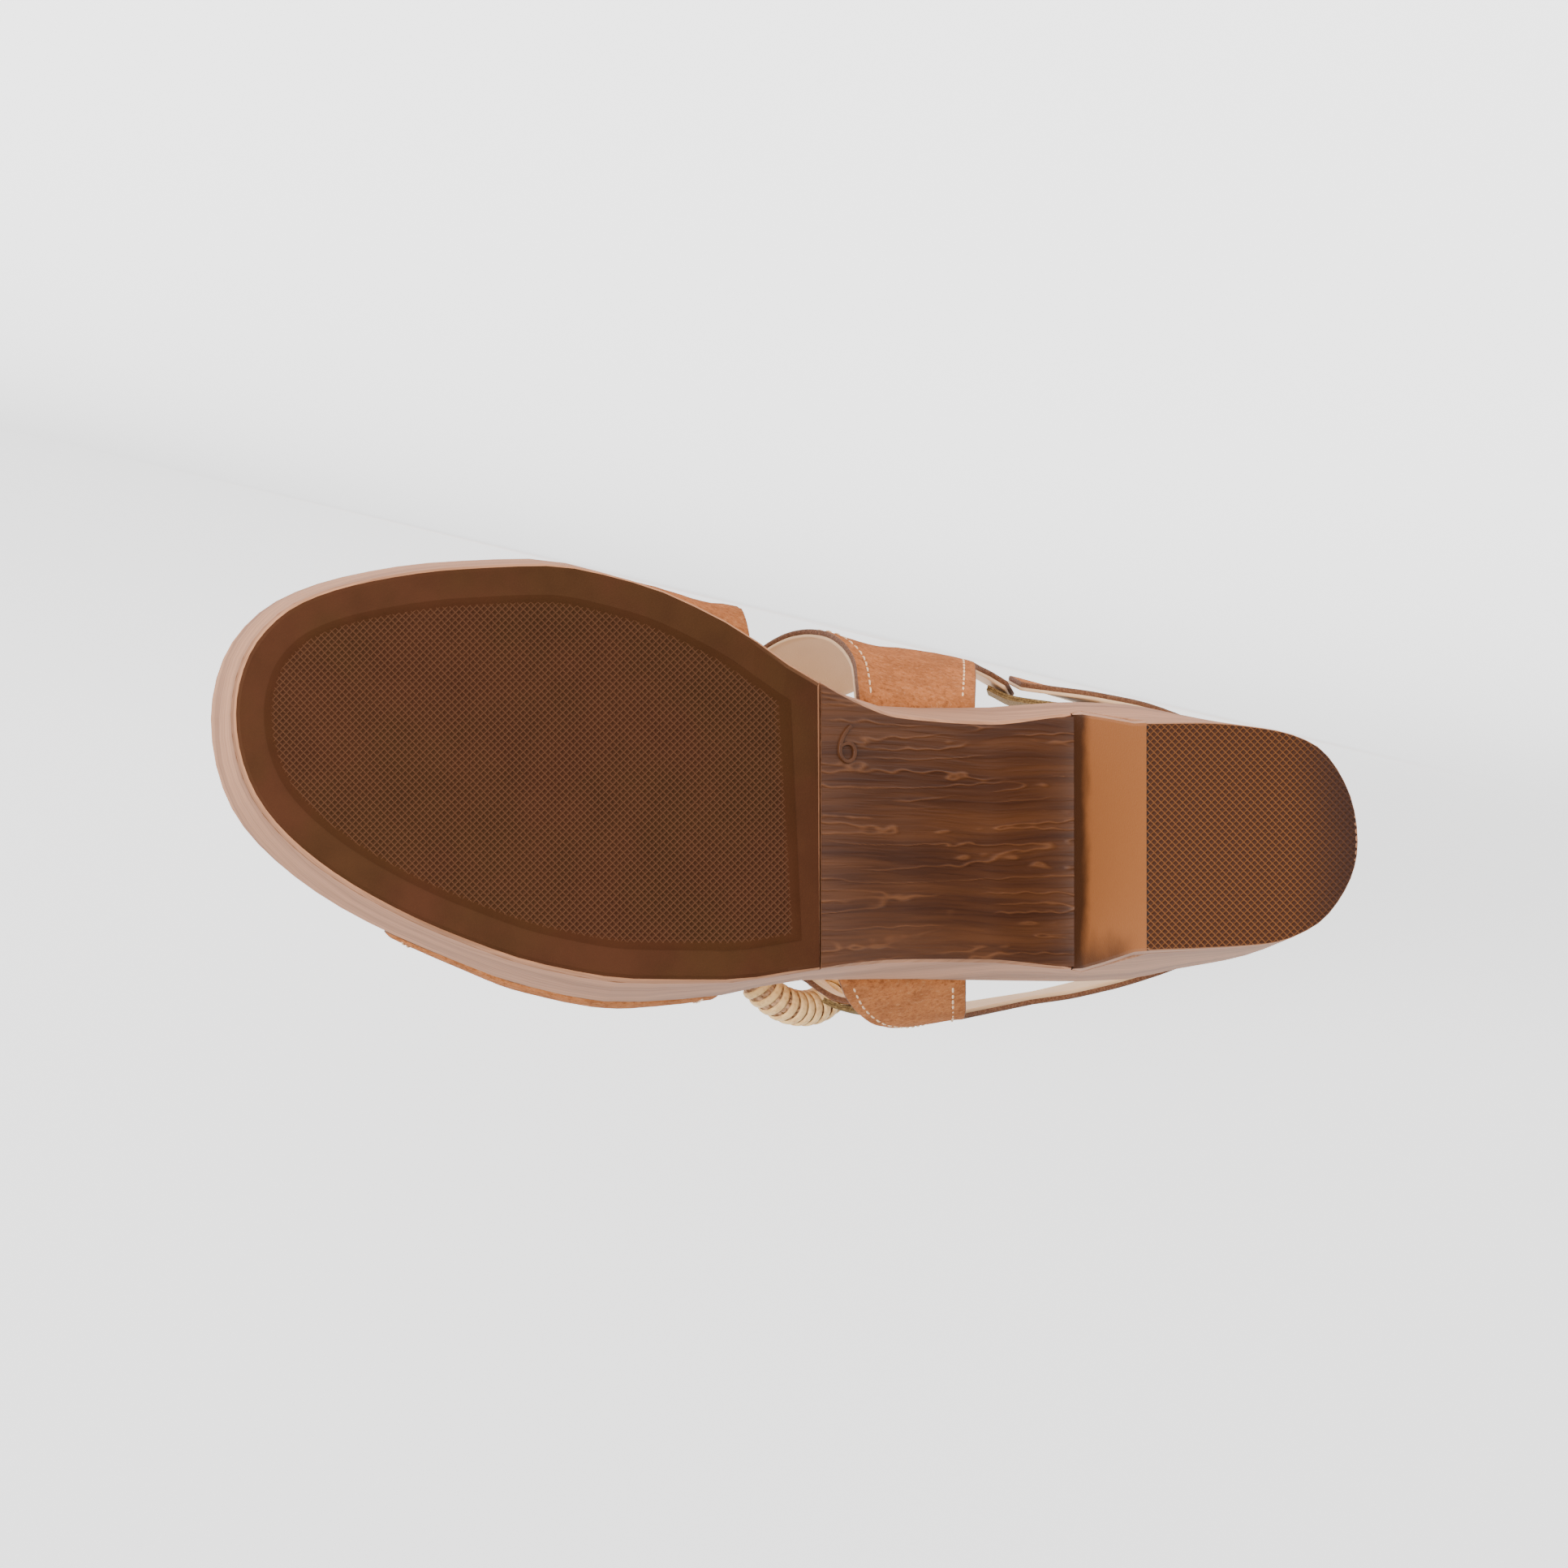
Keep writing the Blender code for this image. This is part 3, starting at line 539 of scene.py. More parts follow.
for low, high in zip(rim_verts, rim_verts[1:]):
    for index in range(len(low)):
        beside = (index + 1) % len(low)
        rim_mesh.faces.new((low[index], low[beside], high[beside], high[index]))
rim_data = bpy.data.meshes.new("field_rim")
rim_mesh.to_mesh(rim_data)
rim_mesh.free()
rim_data.shade_smooth()
field_rim = bpy.data.objects.new("field_rim", rim_data)
bpy.context.collection.objects.link(field_rim)
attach(field_rim, "root")
groove = Finish("field_edge_rubber", 0.75, Specular_IOR_Level=0.02)
x, y, z = groove.shoe_place()
groove.link(
    Base_Color=groove.mix(0.35, tread_colours(groove, x, y), TREAD_DEEP),
    Normal=groove.bump(groove.cloud(groove.place(), 2600.0, 2.0), 0.00012, 0.7),
)
rim_data.materials.append(groove.material)


# Shank skin: the underside between forefoot and heel, where the moulding carries an embossed wood grain.
# Wavy raised veins run along the shoe over darker and lighter bands, and the plain size figure stands
# proud of it beside the forefoot.
SHANK_START = 0.0553
SKIN_DEPTH = 0.00045
VEIN_HEIGHT = 0.00026
BAND_HEIGHT = 0.00012
SHANK_LIGHT = (0.080, 0.027, 0.0085, 1)
SHANK_VEIN_HIGHLIGHT = (0.17, 0.066, 0.025, 1)
FIGURE = "6"
FIGURE_HEIGHT = 0.0085
FIGURE_AT = (0.1048, 0.0185)
FIGURE_RISE = 0.00035

skin = bmesh.new()
raised = []
skin_rows = []
for x in np.linspace(SHANK_START, FOREFOOT_START - 0.0003, 120):
    station = x / TREAD_LENGTH
    level = tread_level(station)
    inner = OUTLINE.at("tread_medial", station) * BALL_WIDTH - 0.0004
    outer = OUTLINE.at("tread_lateral", station) * BALL_WIDTH + 0.0004
    row = []
    for y in np.linspace(outer, inner, 340):
        wave = 0.0022 * noise.noise(Vector((x * 22, y * 30, 0.3)))
        vein = noise.noise(Vector((x * 26, (y + wave) * 480, 1.7)))
        vein += 0.22 * noise.noise(Vector((x * 300, (y + wave) * 500, 4.1)))
        patch = noise.noise(Vector((x * 55, y * 130, 8.2)))
        band = noise.noise(Vector((x * 14, (y + wave) * 160, 5.5)))
        line = max(0.0, 1 - abs(vein - 0.05) / 0.09) * min(max((patch + 0.12) / 0.2, 0.0), 1.0)
        rim = min((inner - y) / 0.0008, (y - outer) / 0.0008, 1.0)
        lower = SKIN_DEPTH + (VEIN_HEIGHT * line + BAND_HEIGHT * (0.5 + band)) * rim
        row.append(skin.verts.new(shoe @ Vector((x, y, level - lower))))
        raised.append(line)
    skin_rows.append(row)
for low, high in zip(skin_rows, skin_rows[1:]):
    for index in range(len(low) - 1):
        skin.faces.new((low[index], low[index + 1], high[index + 1], high[index]))
data = bpy.data.meshes.new("shank_skin")
skin.to_mesh(data)
skin.free()
data.shade_smooth()
data.attributes.new("vein", "FLOAT", "POINT").data.foreach_set("value", raised)
shank_skin = bpy.data.objects.new("shank_skin", data)
bpy.context.collection.objects.link(shank_skin)
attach(shank_skin, "root")

embossed = Finish("embossed_shank", 0.5, Specular_IOR_Level=0.25)
x, y, z = embossed.shoe_place()
bend = embossed.cloud(embossed.stretched(x * 22, y * 30, 0.3), 1.0, 2.0) * 0.006
bands = embossed.cloud(embossed.stretched(x * 16, (y + bend) * 210, 0.0), 1.0, 3.0).between(0.34, 0.68)
threads = embossed.cloud(embossed.stretched(x * 60, (y + bend) * 1100, 0.0), 1.0, 2.0).between(0.40, 0.62)
colour = embossed.mix(bands * 0.75 + threads * 0.25, SHANK_LIGHT, SHANK_DEEP)
# Painted highlight: the raised veins are coloured lighter along their tops.
vein = embossed.node("Attribute", {"attribute_name": "vein"}, {}, "Fac")
embossed.link(
    Base_Color=embossed.mix(vein * 0.55, colour, SHANK_VEIN_HIGHLIGHT),
    Normal=embossed.bump(threads, 0.00008, 0.7),
)
data.materials.append(embossed.material)

lettering = bpy.data.curves.new("size_figure", "FONT")
lettering.body = FIGURE
lettering.size = FIGURE_HEIGHT / 0.7
lettering.align_x = "CENTER"
lettering.align_y = "CENTER"
lettering.offset = -0.0003
lettering.extrude = FIGURE_RISE
lettering.bevel_depth = 0.00012
lettering.resolution_u = 8
lettering.materials.append(embossed.material)
figure = bpy.data.objects.new("size_figure", lettering)
figure_x, figure_y = FIGURE_AT
figure_at = Vector((figure_x, figure_y, tread_level(figure_x / TREAD_LENGTH) - SKIN_DEPTH - 0.0001))
slope = (tread_level((figure_x + 0.003) / TREAD_LENGTH) - tread_level((figure_x - 0.003) / TREAD_LENGTH)) / 0.006
reading = -(along + up * slope).normalized()
figure_turn = Matrix((reading, inward, reading.cross(inward))).transposed().to_4x4()
figure.matrix_world = Matrix.Translation(shoe @ figure_at) @ figure_turn
bpy.context.collection.objects.link(figure)
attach(figure, "root")


# Heel lift: rubber tread with the same diamonds right to its edges, turned up over the raked breast as a smooth tan
# skin, with painted shade darkening it towards the shank.
HEEL_TREAD_LENGTH = 0.0434
HEEL_RIDGE_HIGHLIGHT = (0.17, 0.062, 0.020, 1)
BREAST_TAN = (0.25, 0.086, 0.026, 1)
BREAST_PAINTED_SHADE = (0.048, 0.016, 0.005, 1)
BREAST_EDGE = (0.40, 0.17, 0.065, 1)

lift = Finish("lift_rubber", 0.62, Specular_IOR_Level=0.15)
x, y, z = lift.shoe_place()
wall_colour, wall_relief = wall_grain(lift, x, y, z)
under = lift.facing(-up).between(0.7, 0.95)
breast = lift.facing(along).between(0.55, 0.8)
breast_shade_wobble = lift.cloud(lift.place(), 130.0, 3.0) * 0.006
# Painted shade: the breast darkens into the fillet under the shank and towards its lower outer corner, with a noisy
# edge.
fillet = (z + breast_shade_wobble).between(0.030, 0.037)
corner = (y + breast_shade_wobble).between(-0.016, -0.024) * (z + y * 0.8).between(-0.016, -0.004)
shade = fillet.math("MAXIMUM", corner * 0.8)
tan = lift.mix(lift.cloud(lift.place(), 1800.0, 2.0) * 0.18, BREAST_TAN, BREAST_EDGE)
colour = lift.mix(breast, wall_colour, lift.mix(shade, tan, BREAST_PAINTED_SHADE))
lift.link(
    Base_Color=lift.mix(under, colour, TREAD_DEEP),
    Normal=lift.bump(lift.cloud(lift.place(), 2600.0, 2.0), 0.0001, 0.6),
)
lift.cover("heel_lift")

heel_tread_finish = Finish("heel_diamond_tread", 0.6, Specular_IOR_Level=0.1)
x, y, z = heel_tread_finish.shoe_place()
lines = None
for crossing in (x + y, x - y):
    wave = (crossing * (1 / (GRID_PITCH * math.sqrt(2)))).math("PINGPONG", 0.5)
    lines = wave if lines is None else lines.math("MINIMUM", wave)
# Painted highlight: the raised crossing lines of the heel diamonds are coloured lighter than the pits.
ridge = lines.between(0.16, 0.02)
# Painted shade: the heel tread darkens towards its back end, with a noisy edge.
back_shade_wobble = heel_tread_finish.cloud(heel_tread_finish.place(), 60.0, 2.0) * 0.008
back = (x + back_shade_wobble).between(0.019, 0.004)
colour = heel_tread_finish.mix(ridge * 0.9, heel_tread_finish.mix(0.4, TREAD_BROWN, TREAD_DEEP), HEEL_RIDGE_HIGHLIGHT)
heel_tread_finish.link(Base_Color=heel_tread_finish.mix(back * 0.85, colour, (0.030, 0.013, 0.009, 1)))
heel_grid = diamond_grid(
    "heel_diamonds",
    tread_edge(0.0, HEEL_TREAD_LENGTH / TREAD_LENGTH, 0.0002),
    GRID_PITCH,
    HEEL_TREAD_LENGTH,
    0.0002,
    lambda station: -0.0003,
    lambda station: -0.00003,
)
heel_grid.data.materials.append(heel_tread_finish.material)


# Insole: board covered in smooth cream leather, lightly rubbed where the foot rests.
CREAM = (0.70, 0.475, 0.285, 1)
CREAM_WARM = (0.60, 0.375, 0.21, 1)


def smooth_leather(name):
    """Cream lining leather with fine pores."""
    finish = Finish(name, 0.6, Specular_IOR_Level=0.3)
    place = finish.place()
    soft = finish.cloud(place, 70.0, 3.0).between(0.3, 0.75)
    pores = finish.cloud(place, 2400.0, 3.0, 0.6)
    finish.link(
        Base_Color=finish.mix(soft * 0.6 + pores * 0.2, CREAM, CREAM_WARM),
        Normal=finish.bump(pores, 0.00008, 0.6),
    )
    return finish


lining = smooth_leather("lining_leather")
lining.cover("insole")


# Vamp band: suede on a cream lining, drawn over the last and fixed between sole and insole, with its cut
# edges left raw and a line of stitches near them.
LEATHER = 0.002
GAP = 0.0003
FEATHER_INSET = 0.0024
INSTEP_HEIGHT = 0.072
LAST_FULLNESS = 0.8
VAMP_SPRING = 0.0035
STITCH_INSET = 0.003
STITCH_PITCH = 0.0032
STITCH_LENGTH = 0.0024
THREAD_RADIUS = 0.00026
SUEDE_LIT = (0.45, 0.155, 0.050, 1)
SUEDE_DEEP = (0.17, 0.055, 0.018, 1)
SUEDE_PALE = (0.58, 0.28, 0.13, 1)
RAW_EDGE = (0.125, 0.050, 0.024, 1)
RAW_EDGE_LIT = (0.26, 0.12, 0.06, 1)
THREAD = (0.80, 0.55, 0.33, 1)

LAST = Table(
    "station crown_height crown_side medial_bulge lateral_bulge",
    [
        (0.30, 1.22, 0.00, 0.170, 0.100),
        (0.34, 1.17, 0.00, 0.205, 0.115),
        (0.40, 1.08, 0.00, 0.225, 0.140),
        (0.44, 1.03, 0.01, 0.225, 0.120),
        (0.48, 0.975, 0.03, 0.205, 0.050),
        (0.52, 0.905, 0.05, 0.160, 0.035),
        (0.56, 0.83, 0.075, 0.095, 0.045),
        (0.60, 0.76, 0.095, 0.055, 0.055),
        (0.64, 0.69, 0.11, 0.030, 0.060),
        (0.72, 0.575, 0.14, 0.015, 0.060),
        (0.80, 0.46, 0.17, 0.015, 0.050),
        (0.88, 0.36, 0.20, 0.015, 0.030),
    ],
)
VAMP = Table(
    "angle rear front",
    [
        (0, 0.530, 0.800),
        (25, 0.545, 0.805),
        (60, 0.600, 0.800),
        (90, 0.635, 0.790),
        (120, 0.620, 0.795),
        (155, 0.575, 0.825),
        (180, 0.555, 0.840),
    ],
)


def footbed(station):
    """Height of the sole's top face."""
    rise = PROFILE.at("heel_rise", station) * (HEEL_HEIGHT - PLATFORM_HEIGHT)
    return PLATFORM_HEIGHT + rise + PROFILE.at("toe_lift", station) * TOE_SPRING


def foot_edge(side, station):
    """Point of the footbed's edge."""
    edge_y = OUTLINE.at("top_" + side, station) * BALL_WIDTH
    return Vector((station * SOLE_LENGTH - HEEL_BACK_FLARE, edge_y, footbed(station)))


def last_point(station, angle):
    """Point of the last at a station and an angle round it, 0 at the inner and 180 at the outer side."""
    side = "medial" if angle <= 90 else "lateral"
    turn = math.radians(angle if angle <= 90 else 180 - angle)
    outwards = 1 if side == "medial" else -1
    edge = foot_edge(side, station)
    foot_y = edge.y - outwards * FEATHER_INSET
    crown_y = LAST.at("crown_side", station) * BALL_WIDTH
    bulge = LAST.at(side + "_bulge", station) * BALL_WIDTH * max(math.sin(2 * turn), 0) ** LAST_FULLNESS
    y = crown_y + (foot_y - crown_y) * math.cos(turn) + outwards * bulge
    z = edge.z + GAP + LAST.at("crown_height", station) * INSTEP_HEIGHT * math.sin(turn)
    return Vector((edge.x, y, z))


def last_normal(station, angle):
    """Outward direction of the last."""
    around = last_point(station, min(angle + 0.5, 180)) - last_point(station, max(angle - 0.5, 0))
    ahead = last_point(station + 0.004, angle) - last_point(station - 0.004, angle)
    return around.cross(ahead).normalized()


def wearer(station):
    """Point in the middle of the foot, from which leather faces outwards."""
    sides = foot_edge("medial", station) + foot_edge("lateral", station)
    return last_point(station, 90) * 0.4 + sides * 0.3


class Leather:
    """Sheet of points on the foot's side, which gets its thickness outwards, in suede over lining."""

    LEVELS = ((0.0, 0.0), (0.06, 0.00012), (0.34, 0.00014), (0.40, -0.00008), (0.46, 0.0001), (0.70, 0.0002),
              (0.90, 0.00014), (1.0, -0.00008))
    LINING_LEVELS = 3

    def __init__(self):
        self.mesh = bmesh.new()
        self.feet = set()

    def row(self, points):
        return [self.mesh.verts.new(point) for point in points]

    def join(self, rows):
        for low, high in zip(rows, rows[1:]):
            for index in range(len(low) - 1):
                self.mesh.faces.new((low[index], low[index + 1], high[index + 1], high[index]))

    def rim_directions(self):
        """Direction out of the sheet at each point of its edge."""
        ways = {}
        for edge in self.mesh.edges:
            if len(edge.link_faces) == 1:
                first, second = edge.verts
                away = (first.co + second.co) / 2 - edge.link_faces[0].calc_center_median()
                line = (second.co - first.co).normalized()
                away -= line * away.dot(line)
                for vert in edge.verts:
                    ways[vert] = ways.get(vert, Vector()) + away.normalized()
        return {vert: way.normalized() for vert, way in ways.items()}

    def solid(self, name, thickness, outward, finishes):
        mesh = self.mesh
        bmesh.ops.recalc_face_normals(mesh, faces=mesh.faces)
        mesh.normal_update()
        if sum(face.normal.dot(face.calc_center_median() - outward) for face in mesh.faces) < 0:
            bmesh.ops.reverse_faces(mesh, faces=mesh.faces)
            mesh.normal_update()
        ways = self.rim_directions()
        rims = [edge for edge in mesh.edges if len(edge.link_faces) == 1]
        faces = list(mesh.faces)
        levels = []
        for share, proud in self.LEVELS:
            layer = {}
            whole = share in (0.0, 1.0)
            for vert in list(ways) if not whole else [vert for vert in mesh.verts if vert.index >= 0]:
                place = vert.co + vert.normal * thickness * share
                if vert in self.feet:
                    flat = Vector((vert.normal.x, vert.normal.y, 0)).normalized()
                    place = vert.co + flat * thickness * share
                    place.z = footbed((place.x + HEEL_BACK_FLARE) / SOLE_LENGTH) + GAP
                elif vert in ways:
                    place += ways[vert] * proud
                layer[vert] = place
            levels.append(layer)
        solid = bmesh.new()
        made = [{vert: solid.verts.new(place) for vert, place in layer.items()} for layer in levels]
        for face in faces:
            solid.faces.new([made[-1][vert] for vert in face.verts]).material_index = 0
            solid.faces.new([made[0][vert] for vert in reversed(face.verts)]).material_index = 1
        for index, (low, high) in enumerate(zip(made, made[1:])):
            for edge in rims:
                first, second = edge.verts
                band = solid.faces.new((low[first], low[second], high[second], high[first]))
                band.material_index = 1 if index < self.LINING_LEVELS else 2
        bmesh.ops.recalc_face_normals(solid, faces=solid.faces)
        solid.transform(shoe)
        data = bpy.data.meshes.new(name)
        solid.to_mesh(data)
        solid.free()
        mesh.free()
        data.shade_smooth()
        for finish in finishes:
            data.materials.append(finish.material)
        item = bpy.data.objects.new(name, data)
        bpy.context.collection.objects.link(item)
        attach(item, "root")
        return item


def suede_nap(name):
    """Tan suede: a short brushed nap with darker flecks and paler rubbed patches."""
    finish = Finish(name, 0.95, Specular_IOR_Level=0.05, Sheen_Weight=0.06, Sheen_Roughness=0.5,
                    Sheen_Tint=(0.9, 0.55, 0.35, 1))
    place = finish.place()
    brushed = finish.cloud(place, 150.0, 5.0, 0.65).between(0.38, 0.66)
    flecks = finish.cloud(place, 900.0, 5.0, 0.8)
    dark = flecks.between(0.51, 0.62)
    pale = flecks.between(0.47, 0.38)
    colour = finish.mix(brushed * 0.40, SUEDE_LIT, SUEDE_DEEP)
    colour = finish.mix(dark * 0.65, colour, SUEDE_DEEP)
    finish.link(
        Base_Color=finish.mix(pale * 0.35, colour, SUEDE_PALE),
        Normal=finish.bump(1 - flecks, 0.0005, 0.8),
    )
    return finish


def raw_edge(name):
    """Fuzzy dark cut edge of the suede."""
    finish = Finish(name, 0.95, Specular_IOR_Level=0.1, Sheen_Weight=0.2)
    fuzz = finish.cloud(finish.place(), 2200.0, 4.0, 0.8)
    finish.link(
        Base_Color=finish.mix(fuzz.between(0.4, 0.7), RAW_EDGE, RAW_EDGE_LIT),
        Normal=finish.bump(fuzz, 0.0004, 0.9),
    )
    return finish


suede = suede_nap("tan_suede")
edge_finish = raw_edge("raw_suede_edge")
thread = Finish("pale_thread", 0.7, Specular_IOR_Level=0.3)
twist = thread.cloud(thread.place(), 5000.0, 2.0)
thread.link(Base_Color=thread.mix(twist * 0.4, THREAD, CREAM_WARM), Normal=thread.bump(twist, 0.00008, 0.7))
leather_finishes = (suede, lining, edge_finish)


def sew(name, lines_of_places):
    """Row of stitches along each line of points and outward directions."""
    mesh = bmesh.new()
    for line in lines_of_places:
        points = [point for point, _ in line]
        walked = [0.0]
        for before, after in zip(points, points[1:]):
            walked.append(walked[-1] + (after - before).length)

        def on_line(distance):
            index = min(max(int(np.searchsorted(walked, distance)) - 1, 0), len(points) - 2)
            share = (distance - walked[index]) / max(walked[index + 1] - walked[index], 1e-9)
            place = points[index].lerp(points[index + 1], share)
            return place, line[index][1].lerp(line[index + 1][1], share).normalized()

        start = STITCH_PITCH / 2
        while start + STITCH_LENGTH < walked[-1]:
            rings = []
            for share, lift_up, width in ((0.0, -0.9, 0.35), (0.15, 0.1, 0.85), (0.5, 0.5, 1.0), (0.85, 0.1, 0.85),
                                          (1.0, -0.9, 0.35)):
                place, outward = on_line(start + STITCH_LENGTH * share)
                ahead = (on_line(start + STITCH_LENGTH)[0] - on_line(start)[0]).normalized()
                across = outward.cross(ahead).normalized()
                centre = place + outward * THREAD_RADIUS * lift_up
                rings.append([mesh.verts.new(centre + (across * math.cos(turn) + outward * math.sin(turn) * 0.8)
                                             * THREAD_RADIUS * width)
                              for turn in (math.pi / 3 * corner for corner in range(6))])
            for low, high in zip(rings, rings[1:]):
                for corner in range(6):
                    beside = (corner + 1) % 6
                    mesh.faces.new((low[corner], low[beside], high[beside], high[corner]))
            mesh.faces.new(rings[0][::-1])
            mesh.faces.new(rings[-1])
            start += STITCH_PITCH
    mesh.transform(shoe)
    data = bpy.data.meshes.new(name)
    mesh.to_mesh(data)
    mesh.free()
    data.shade_smooth()
    data.materials.append(thread.material)
    item = bpy.data.objects.new(name, data)
    bpy.context.collection.objects.link(item)
    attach(item, "root")
    return item


def supple(point, outward, reach=0.00022):
    """Point with the slight unevenness of worked leather."""
    return point + outward * reach * (noise.noise(point * 95.0) + 0.5 * noise.noise(point * 240.0))


def vamp_point(station, angle):
    """Point of the band, which springs out a little at its rear inner corner, down to the floor."""
    outward = last_normal(station, angle)
    point = supple(last_point(station, angle), outward)
    spring = VAMP_SPRING * max(0.0, math.sin(math.pi * min(angle / 75, 1.0))) * max(0.0, 1 - (station - 0.53) / 0.15)
    while spring > 0.0002 and (shoe @ (point + outward * (LEATHER + spring))).z < 0.0004:
        spring *= 0.8
    return point + outward * spring


vamp = Leather()
vamp_rows = []
for angle in np.linspace(0, 180, 85):
    stations = np.linspace(VAMP.at("rear", angle), VAMP.at("front", angle), 25)
    vamp_rows.append(vamp.row(vamp_point(station, angle) for station in stations))
vamp.join(vamp_rows)
vamp.feet = set(vamp_rows[0] + vamp_rows[-1])
vamp_skin = vamp.solid("vamp_suede", LEATHER, wearer(0.68), leather_finishes)
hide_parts("vamp_band")

vamp_lines = []
for edge_name, side in (("rear", 1), ("front", -1)):
    line = []
    for angle in np.linspace(1.5, 178.5, 120):
        station = VAMP.at(edge_name, angle) + side * STITCH_INSET / SOLE_LENGTH
        outward = last_normal(station, angle)
        line.append((last_point(station, angle) + outward * LEATHER, outward))
    vamp_lines.append(line)
vamp_seams = sew("vamp_stitches", vamp_lines)


# Inner quarter and instep strap: one piece of suede that rises from the inner side, crosses the instep,
# passes through the ring and ends under the outer quarter, with a short tab back to the elastic.
SLING_WIDTH = 0.0125
SLING_BACK_HEIGHT = 0.044
SLING_ROWS = (2, 3)
INSTEP_STRAP = Table(
    "row rear_station rear_angle front_station front_angle",
    [
        (0, 0.327, 0, 0.433, 0),
        (1, 0.322, 13, 0.436, 12),
        (2, 0.320, 25, 0.452, 24),
        (3, 0.322, 37, 0.472, 33),
        (4, 0.362, 47, 0.497, 42),
        (5, 0.424, 57, 0.524, 52),
        (6, 0.474, 71, 0.551, 68),
        (7, 0.503, 92, 0.572, 91),
        (8, 0.500, 112, 0.554, 112),
        (9, 0.485, 130, 0.523, 131),
        (10, 0.461, 148, 0.490, 151),
        (11, 0.434, 155, 0.456, 161),
        (12, 0.398, 156, 0.421, 165),
        (13, 0.368, 154.5, 0.392, 165),
    ],
)
FRONT_SLING = Table(
    "row station side height lean",
    [
        (0, 0.300, 0.378, 0.76, 10),
        (1, 0.284, 0.352, 0.76, 14),
    ],
)


def strap_place(table, row, share, offset=0.0):
    """Point of a strap on the last and its outward direction; share runs from rear to front edge."""
    station = table.at("rear_station", row) * (1 - share) + table.at("front_station", row) * share
    angle = table.at("rear_angle", row) * (1 - share) + table.at("front_angle", row) * share
    outward = last_normal(station, angle)
    return last_point(station, angle) + outward * offset, outward


def strap_row(table, row, count, offset=0.0):
    return [supple(*strap_place(table, row, share, offset)) for share in np.linspace(0, 1, count)]


def sling_row(table, row, width, count):
    """Points across a heel strap, from its lower edge to its upper edge."""
    lean = math.radians(table.at("lean", row))
    centre = Vector((table.at("station", row) * SOLE_LENGTH - HEEL_BACK_FLARE, table.at("side", row) * BALL_WIDTH,
                     HEEL_HEIGHT + table.at("height", row) * SLING_BACK_HEIGHT))
    to_heel = (Vector((0.12 * SOLE_LENGTH, 0, centre.z)) - centre).normalized()
    rising = Vector((0, 0, math.cos(lean))) + to_heel * math.sin(lean)
    return [supple(centre + rising * width * (share - 0.5), to_heel, 0.00012) for share in np.linspace(0, 1, count)]


def strap_seam(table, first, last, side, offset):
    """Line of a seam near the rear (0) or front (1) edge of a strap."""
    line = []
    for row in np.linspace(first, last, int((last - first) * 12) + 2):
        ends = [strap_place(table, row, share)[0] for share in (0, 1)]
        inset = STITCH_INSET / (ends[1] - ends[0]).length
        line.append(strap_place(table, row, 1 - inset if side else inset, offset(row) + LEATHER))
    return line


PER_ROW = 8
strap = Leather()
last_row = len(INSTEP_STRAP.rows) - 1
strap_rows = [strap.row(strap_row(INSTEP_STRAP, row, 17)) for row in np.linspace(0, last_row, last_row * PER_ROW + 1)]
strap.join(strap_rows)
strap.feet = set(strap_rows[0])
first, last = (row * PER_ROW for row in SLING_ROWS)
tab = [[row[0] for row in strap_rows[first:last + 1]]]
for place in np.linspace(0, 1, 7):
    tab.append(strap.row(sling_row(FRONT_SLING, place, SLING_WIDTH, last - first + 1)))
strap.join(tab)
strap_skin = strap.solid("instep_strap_suede", LEATHER, wearer(0.42), leather_finishes)
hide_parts("quarter_and_instep_strap")
no_offset = lambda row: 0.0
strap_seams = sew("instep_strap_stitches", [
    strap_seam(INSTEP_STRAP, 0.15, 12.6, 1, no_offset),
    strap_seam(INSTEP_STRAP, 0.15, 12.6, 0, no_offset),
])


# Outer quarter and heel sling: suede from the outer side over the strap's tail, then round behind the heel.
PAD_THICKNESS = 0.0012
TAIL_CLEARANCE = 0.0008
OUTER_QUARTER = Table(
    "row rear_station rear_angle front_station front_angle offset",
    [
        (0, 0.335, 180, 0.451, 180, 0.0),
        (1, 0.334, 172, 0.436, 171, 0.6),
        (2, 0.333, 164, 0.412, 163, 1.0),
        (3, 0.331, 156, 0.385, 155, 1.0),
        (4, 0.328, 144, 0.352, 144, 1.0),
    ],
)
REAR_SLING = Table(
    "row station side height lean",
    [
        (0, 0.262, -0.372, 0.74, 4),
        (1, 0.215, -0.350, 0.80, 8),
        (2, 0.140, -0.295, 0.88, 10),
        (3, 0.060, -0.195, 0.96, 6),
        (4, 0.006, 0.000, 1.00, 4),
        (5, 0.060, 0.185, 0.96, 8),
        (6, 0.130, 0.275, 0.88, 16),
        (7, 0.195, 0.325, 0.81, 8),
        (8, 0.277, 0.370, 0.76, -14),
    ],
)
over_strap = LEATHER + PAD_THICKNESS + TAIL_CLEARANCE


def over_tail(row):
    return OUTER_QUARTER.at("offset", row) * over_strap


quarter = Leather()
last_row = len(OUTER_QUARTER.rows) - 1
quarter_rows = [quarter.row(strap_row(OUTER_QUARTER, row, 15, over_tail(row)))
                for row in np.linspace(0, last_row, last_row * PER_ROW + 1)]
quarter.join(quarter_rows)
quarter.feet = set(quarter_rows[0])
sling = [[row[0] for row in quarter_rows[(last_row - 1) * PER_ROW:]]]
sling_end = len(REAR_SLING.rows) - 1
for place in np.linspace(0, sling_end, sling_end * 10 + 1):
    sling.append(quarter.row(sling_row(REAR_SLING, place, SLING_WIDTH, PER_ROW + 1)))
quarter.join(sling)
quarter_skin = quarter.solid("heel_sling_suede", LEATHER, wearer(0.30), leather_finishes)
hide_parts("quarter_and_heel_sling")
quarter_seams = sew("outer_quarter_stitches", [
    strap_seam(OUTER_QUARTER, 0.15, last_row - 0.3, 1, over_tail),
    strap_seam(OUTER_QUARTER, 0.15, last_row - 1.0, 0, over_tail),
])


